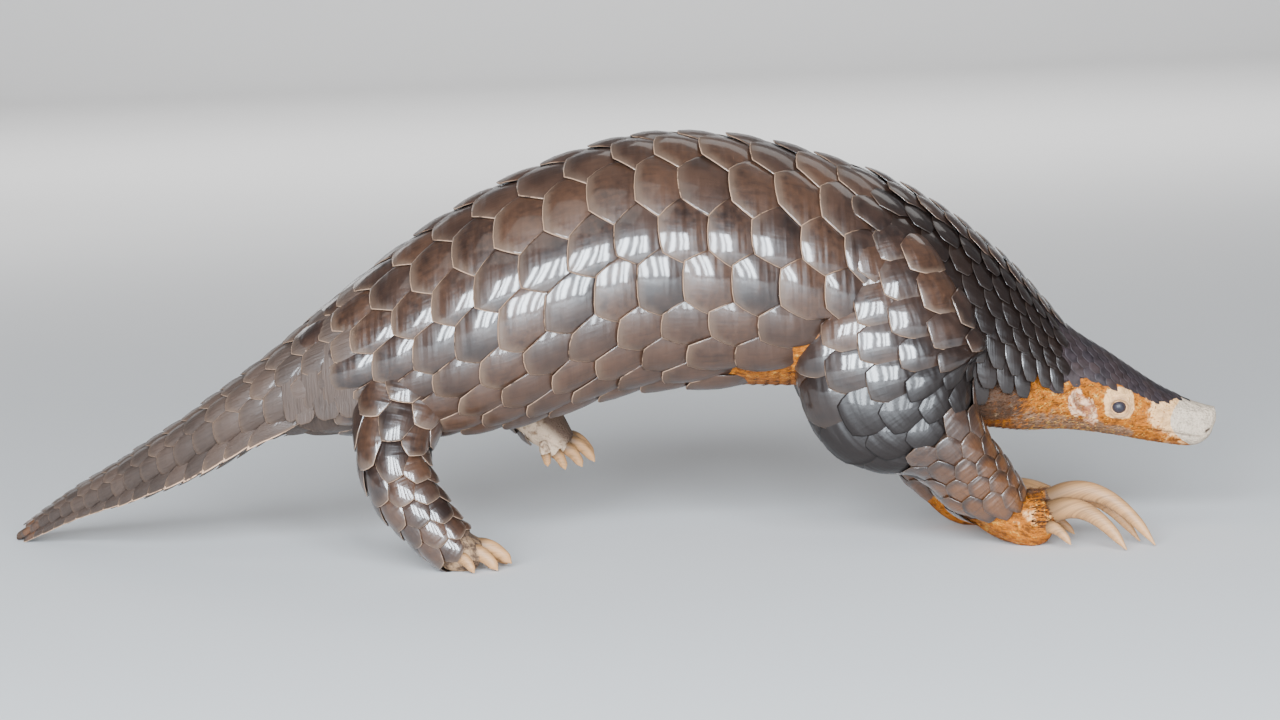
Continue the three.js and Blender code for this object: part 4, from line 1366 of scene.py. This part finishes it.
def claw_finish(colours):
    """Pale horn with lines from root to tip, darker at the root."""
    finish = Finish("pangolin_claw", ior=1.5)
    along, across, seed = map(finish.attribute, ("along", "across", "seed"))
    grain = finish.noise(1.0, 3.0, finish.vector(along * 2, across * 26, seed * 30))
    lined = finish.mix(paint(colours.claw, 0.5), paint(colours.claw), grain.above(0.25, 0.62))
    finish.base = finish.mix(paint(colours.claw, 0.3), lined, along.above(-0.05, 0.3))
    finish.cover(paint(colours.claw, 1.3), along.above(0.4, 1.0) * 0.6)
    return finish.done(roughness=0.42 + grain * 0.2, normal=finish.bump(grain, 0.0004, 0.6))


class PANGOLIN_OT_claws(bpy.types.Operator):
    """Makes the claws of the four feet"""

    bl_idname = "pangolin.claws"
    bl_label = "Claws"

    def execute(self, context):
        colours, _, _ = settings()
        horn = claw_finish(colours)
        for leg, claws in CLAWS.items():
            pair, side = leg.split("_")
            bow = FAR_BOW if leg == "front_left" else NEAR_BOW
            for number_of, claw in enumerate(claws, 1):
                form = claw_form(claw, bow, BLUNT if pair == "hind" else SHARP)
                places = np.linspace(-0.35, form.last, 26)
                mesh = mesh_of(warped(tube_points(form, places, 16, dome=0.5)), "claw")
                root, tip = np.array(spot(*claw[:3])), np.array(spot(*claw[3:6]))
                where = positions(mesh)
                give(mesh, "along", (where - root) @ (tip - root) / ((tip - root) @ (tip - root)))
                give(mesh, "across", (where[:, 2] + where[:, 1]) / MM / 30)
                give(mesh, "seed", np.full(len(where), number_of * 0.17 + len(leg) * 0.05))
                name = f"{pair}_claw_{side}_{number_of}"
                finished(f"horn_{name}", mesh, horn, "claw", [name])
        return {"FINISHED"}


# Rings of the lids' rims, from the face in to the eyeball, and the depth of their crest.
LID_RINGS = (12.2, 11.2, 9.8, 8.6, 7.6, 6.8, 6.1, 5.6, 5.1, 4.7, 4.35, 4.1, 3.95, 4.0)
LID_CREST = 24.6


def lid_point(tree, side, reach, angle):
    """A point of a lid at a distance and an angle from the eye's middle, in millimetres."""
    wide, high = reach * math.cos(angle), reach * math.sin(angle)
    if reach < 8:
        wide *= 1 + 0.1 * (8 - reach) / 4
        high *= 1 - 0.06 * (8 - reach) / 4
    x, z = GAZE[0] + wide, GAZE[2] + high
    ball = GAZE[1] + math.sqrt(max(EYE_RADIUS**2 - math.hypot(wide, high) ** 2, 0.0))
    if reach > 6.5:
        # The outer rings dip into the skin.
        hit = tree.ray_cast(spot(x, side * 60, z), Vector((0, -side, 0)))[0]
        y = abs(hit.y / MM - SHIFT[1]) if hit else 20.0
        y += 0.12 - 0.9 * float(smooth(reach, 8.6, 12.2))
    elif reach == LID_RINGS[-1]:
        y = ball - 0.5
    else:
        crest = LID_CREST - 0.18 * math.sin(angle)
        y = ball + (crest - ball) * float(smooth(reach, 3.9, 5.6))
    return x, side * y, z


class PANGOLIN_OT_eyes(bpy.types.Operator):
    """Makes the eyes and the rims of their lids"""

    bl_idname = "pangolin.eyes"
    bl_label = "Eyes"

    def execute(self, context):
        colours, _, _ = settings()
        finish = Finish("pangolin_eye", roughness=0.36, ior=1.38)
        finish.base = paint(colours.eye)
        finish.cover(paint(colours.eye, 3), finish.noise(900.0, 2.0))
        glassy = finish.done()
        skin = bpy.data.objects["skin"]
        tree = BVHTree.FromObject(skin, bpy.context.evaluated_depsgraph_get())
        lids = bmesh.new()
        for name, side in (("right", -1), ("left", 1)):
            bm = bmesh.new()
            bmesh.ops.create_uvsphere(bm, u_segments=40, v_segments=24, radius=EYE_RADIUS * MM)
            bmesh.ops.translate(bm, verts=bm.verts, vec=spot(GAZE[0], side * GAZE[1], GAZE[2]))
            finished(f"eyeball_{name}", mesh_of(bm, "eye"), glassy, "eye", [f"eye_{name}"])
            angles = np.linspace(0, 2 * math.pi, 65)
            rings = [[lid_point(tree, side, reach, angle) for angle in angles] for reach in LID_RINGS]
            lid = mesh_of(warped((np.array(rings) + SHIFT) * MM), "lid")
            lids.from_mesh(lid)
            bpy.data.meshes.remove(lid)
        mesh = mesh_of(lids, "lids")
        skin_tones(mesh)
        finished("lids", mesh, skin.data.materials[0], "head_skin")
        return {"FINISHED"}


def hair_template():
    """A flattened spike one unit long, with a ring at half its length."""
    bm = bmesh.new()
    bmesh.ops.create_cone(bm, cap_ends=True, cap_tris=False, segments=4, radius1=1.0, radius2=0.0, depth=1.0)
    bmesh.ops.translate(bm, verts=bm.verts, vec=(0, 0, 0.5))
    cut = {"plane_co": (0, 0, 0.5), "plane_no": (0, 0, 1)}
    bmesh.ops.bisect_plane(bm, geom=bm.verts[:] + bm.edges[:] + bm.faces[:], **cut)
    return mesh_of(bm, "hair")


def faces_of(mesh):
    """The middle, the normal and the area of each face."""
    found = []
    for key, wide in (("center", 3), ("normal", 3), ("area", 1)):
        flat = np.empty(len(mesh.polygons) * wide)
        mesh.polygons.foreach_get(key, flat)
        found.append(flat.reshape(-1, wide))
    return found[0], found[1], found[2][:, 0]


def hair_growth(x, z):
    """How densely hair grows on the face and throat, in the armpit, and at the claws' roots."""
    turn = np.arccos(np.clip((z - body_at(x, Z)) / body_at(x, HIGH), -1, 1)) / math.pi
    below_crown = turn > np.interp(x, CROWN_AT, CROWN_LIMIT) + 0.02
    face = (z > HEAD_LOW) * smooth(x, 200, 215) * (x < pad_border(z) - 1) * below_crown
    face = face * (np.hypot(x - 293.5, z - 82) > 10) * (1 - 0.6 * smooth(x, 300, 320))
    armpit = 0.5 * (x > 60) * (x < 125) * (z > 90) * (z < 125) * (turn > 0.55)
    toes = 1.6 * (x > 232) * (z < 40) * (z > 12)
    return face + armpit, toes


def hair_finish(colours):
    """Ochre hair, with dark and pale ones among it."""
    finish = Finish("pangolin_hair", roughness=0.55, ior=1.45)
    tone = finish.attribute("tone")
    finish.base = paint(colours.ochre, 0.16)
    finish.cover(paint(colours.ochre), tone.above(0.15, 0.45))
    finish.cover(paint(colours.pale), tone.above(0.6, 0.85))
    return finish.done()


class PANGOLIN_OT_hair(bpy.types.Operator):
    """Makes the short hair of the cheeks, the throat and the claws' roots"""

    bl_idname = "pangolin.hair"
    bl_label = "Hair"

    def execute(self, context):
        colours, _, _ = settings()
        centre, normal, area = faces_of(bpy.data.objects["skin"].data)
        x, y, z = (centre / MM - SHIFT).T
        coat, toes = hair_growth(x, z)
        weight = area * np.clip(coat + toes, 0, 2)
        rng = np.random.default_rng(44)
        picked = rng.choice(len(area), HAIRS, p=weight / weight.sum())
        root, out, ahead = centre[picked], normal[picked], x[picked]
        foot = (toes[picked] > 0)[:, None]
        throat = smooth(-ahead, -290, -230)[:, None]
        root = root + unit(np.cross(out, rng.normal(size=(HAIRS, 3)))) * rng.random((HAIRS, 1)) * 0.9 * MM

        # Hair lies along the skin, to the rear on the face and forward on the toes, and lifts a little.
        lie = np.where(foot, (1.0, 0.0, 0.1), (-1.0, 0.0, -0.22)) + 0.32 * rng.normal(size=(HAIRS, 3))
        lie = unit(lie - out * (lie * out).sum(axis=1, keepdims=True))
        lie = unit(lie + out * (0.16 + 0.22 * rng.random((HAIRS, 1))))
        size = MM * (1.5 + 2.2 * throat + 1.5 * foot) * (0.6 + 0.8 * rng.random((HAIRS, 1)))
        across = unit(np.cross(lie, out))
        up = np.cross(across, lie)
        template = hair_template()
        shape = positions(template)
        wide = MM * 0.26 * (0.7 + 0.6 * rng.random((HAIRS, 1, 1)))
        bend = -0.16 * shape[:, 2] ** 2
        where = root[:, None] + lie[:, None] * size[:, None] * shape[:, 2, None]
        where = where + across[:, None] * wide * shape[:, 0, None]
        where = where + up[:, None] * (0.5 * wide * shape[:, 1, None] + size[:, None] * bend[:, None])
        mesh = copies("hair", template, where, 0.0003)
        bpy.data.meshes.remove(template)

        # Each hair's tone is random and low on the feet. Painted shade darkens the hair towards the rear of
        # the throat, under the head, as on the skin there.
        tone = rng.random(HAIRS) * (1 - 0.8 * foot[:, 0]) * (0.25 + 0.75 * smooth(ahead, 222, 246))
        give(mesh, "tone", np.repeat(tone, len(shape)))
        x, y, z = (root / MM - SHIFT).T
        round_it = np.arctan2(y, z - body_at(x, Z)) / math.pi
        along_it = (x - BODY_RINGS[0][X]) / BODY_LENGTH
        bake_patches(mesh, np.stack((0.02 + 0.96 * along_it, 0.5 + 0.48 * round_it), axis=-1), shape)
        finished("hair", mesh, hair_finish(colours), "head_skin")
        return {"FINISHED"}


# The studio in metres: half the floor's size, where it bends up to the wall, and the wall's height.
FLOOR_HALF = 9.0
BEND_START = 7.0
BEND_RADIUS = 1.2
WALL_HEIGHT = 3.0
# Strips of light behind the camera: x and width. They make the bars of light on the scales.
STRIPS = ((-1.35, 0.30), (-0.78, 0.16), (-0.42, 0.34), (0.24, 0.24), (0.72, 0.14), (1.05, 0.26))
STRIP_HEIGHT = 1.7
STRIP_PLACE = (-3.1, 0.98)
STRIP_TINT = (0.82, 0.91, 1.0)
WORLD_COLOUR = (0.86, 0.9, 1.0, 1)
WORLD_STRENGTH = 0.13
# The middle of the picture, in the solids' layout.
AIM = (0, 0, 117.5)


def studio_floor(colours):
    """A pale floor that bends up to a wall far behind the animal."""
    bm = bmesh.new()
    bmesh.ops.create_grid(bm, x_segments=1, y_segments=1, size=FLOOR_HALF)
    far = [v for v in bm.verts if v.co.y > 0]
    bmesh.ops.translate(bm, verts=far, vec=(0, BEND_START - FLOOR_HALF, 0))
    edge = [e for e in bm.edges if all(v in far for v in e.verts)]
    bend = {"cent": (0, BEND_START, BEND_RADIUS), "axis": (1, 0, 0), "angle": math.pi / 2, "steps": 16}
    raised = bmesh.ops.spin(bm, geom=edge, use_duplicate=False, **bend)["geom_last"]
    rim = [e for e in raised if isinstance(e, bmesh.types.BMEdge)]
    wall = bmesh.ops.extrude_edge_only(bm, edges=rim)["geom"]
    top = [v for v in wall if isinstance(v, bmesh.types.BMVert)]
    bmesh.ops.translate(bm, verts=top, vec=(0, 0, WALL_HEIGHT))
    bmesh.ops.recalc_face_normals(bm, faces=bm.faces)
    finish = Finish("studio_floor", roughness=0.9)
    finish.base = paint(colours.floor)
    finish.cover(paint(colours.floor, 0.97), finish.noise(3.0))
    floor = new_object("floor", mesh_of(bm, "floor"), finish.done())


def placed(made, where, turn):
    """Puts a light or a camera in the scene."""
    made.location = where
    made.rotation_mode = "QUATERNION"
    made.rotation_quaternion = turn
    bpy.context.scene.collection.objects.link(made)


def area_light(name, where, size, power, tint, aim):
    """A soft rectangular light that faces a point."""
    data = bpy.data.lights.new(name, "AREA")
    data.shape = "RECTANGLE"
    data.size, data.size_y = size
    data.energy = power
    data.color = tint
    facing = (aim - Vector(where)).to_track_quat("-Z", "Y")
    placed(bpy.data.objects.new(name, data), Vector(where), facing)


class PANGOLIN_OT_studio(bpy.types.Operator):
    """Makes the floor, the lights and the camera"""

    bl_idname = "pangolin.studio"
    bl_label = "Studio"

    def execute(self, context):
        colours, _, studio = settings()
        studio_floor(colours)
        world = bpy.data.worlds.new("studio")
        world.use_nodes = True
        background = world.node_tree.nodes["Background"]
        background.inputs["Color"].default_value = WORLD_COLOUR
        background.inputs["Strength"].default_value = WORLD_STRENGTH
        context.scene.world = world

        aim = spot(*AIM)
        white = (1.0, 1.0, 1.0)
        area_light("key", (-0.5, -1.0, 2.4), (1.8, 1.2), studio.key, (1.0, 0.97, 0.93), aim)
        whole = sum(wide for _, wide in STRIPS)
        for index, (x, wide) in enumerate(STRIPS):
            power = studio.front * wide / whole
            where = (x, *STRIP_PLACE)
            area_light(f"front_{index}", where, (wide, STRIP_HEIGHT), power, STRIP_TINT, aim)
        area_light("back", (0.8, 1.4, 1.9), (2.0, 0.6), studio.back, (1.0, 0.98, 0.95), aim)
        area_light("far_side", (-1.7, 2.5, 1.0), (1.2, 1.2), studio.far, white, aim)
        area_light("backdrop", (0, 3.6, 3.0), (5.0, 1.0), studio.backdrop, white, Vector((0, 6.4, 0)))

        data = bpy.data.cameras.new("camera")
        data.lens = studio.lens
        data.sensor_width = 36
        data.clip_start, data.clip_end = 0.05, 50
        camera = bpy.data.objects.new("camera", data)
        back = Vector((0, -math.cos(studio.pitch), math.sin(studio.pitch)))
        facing = (-back).to_track_quat("-Z", "Y") @ Quaternion((0, 0, 1), -studio.roll)
        placed(camera, aim + back * studio.distance, facing)
        context.scene.camera = camera
        return {"FINISHED"}


class PANGOLIN_PT_panel(bpy.types.Panel):
    """The pangolin's pieces, in the order in which they are made"""

    bl_label = "Pangolin"
    bl_space_type = "VIEW_3D"
    bl_region_type = "UI"
    bl_category = "Pangolin"

    def draw(self, context):
        for group in settings():
            for name in group.__annotations__:
                self.layout.prop(group, name)
        for piece in PIECES:
            self.layout.operator(piece.bl_idname)


PIECES = (
    PANGOLIN_OT_skin,
    PANGOLIN_OT_scales,
    PANGOLIN_OT_crown,
    PANGOLIN_OT_claws,
    PANGOLIN_OT_eyes,
    PANGOLIN_OT_hair,
    PANGOLIN_OT_studio,
)
CLASSES = (PangolinColours, PangolinSizes, PangolinStudio, *PIECES, PANGOLIN_PT_panel)


def register():
    for made in CLASSES:
        bpy.utils.register_class(made)
    bpy.types.Scene.pangolin_colours = bpy.props.PointerProperty(type=PangolinColours)
    bpy.types.Scene.pangolin_sizes = bpy.props.PointerProperty(type=PangolinSizes)
    bpy.types.Scene.pangolin_studio = bpy.props.PointerProperty(type=PangolinStudio)


def unregister():
    del bpy.types.Scene.pangolin_colours
    del bpy.types.Scene.pangolin_sizes
    del bpy.types.Scene.pangolin_studio
    for made in reversed(CLASSES):
        bpy.utils.unregister_class(made)


def main():
    register()
    bpy.ops.pangolin.skin()
    bpy.ops.pangolin.scales()
    bpy.ops.pangolin.crown()
    bpy.ops.pangolin.claws()
    bpy.ops.pangolin.eyes()
    bpy.ops.pangolin.hair()
    bpy.ops.pangolin.studio()


if __name__ == "__main__":
    main()
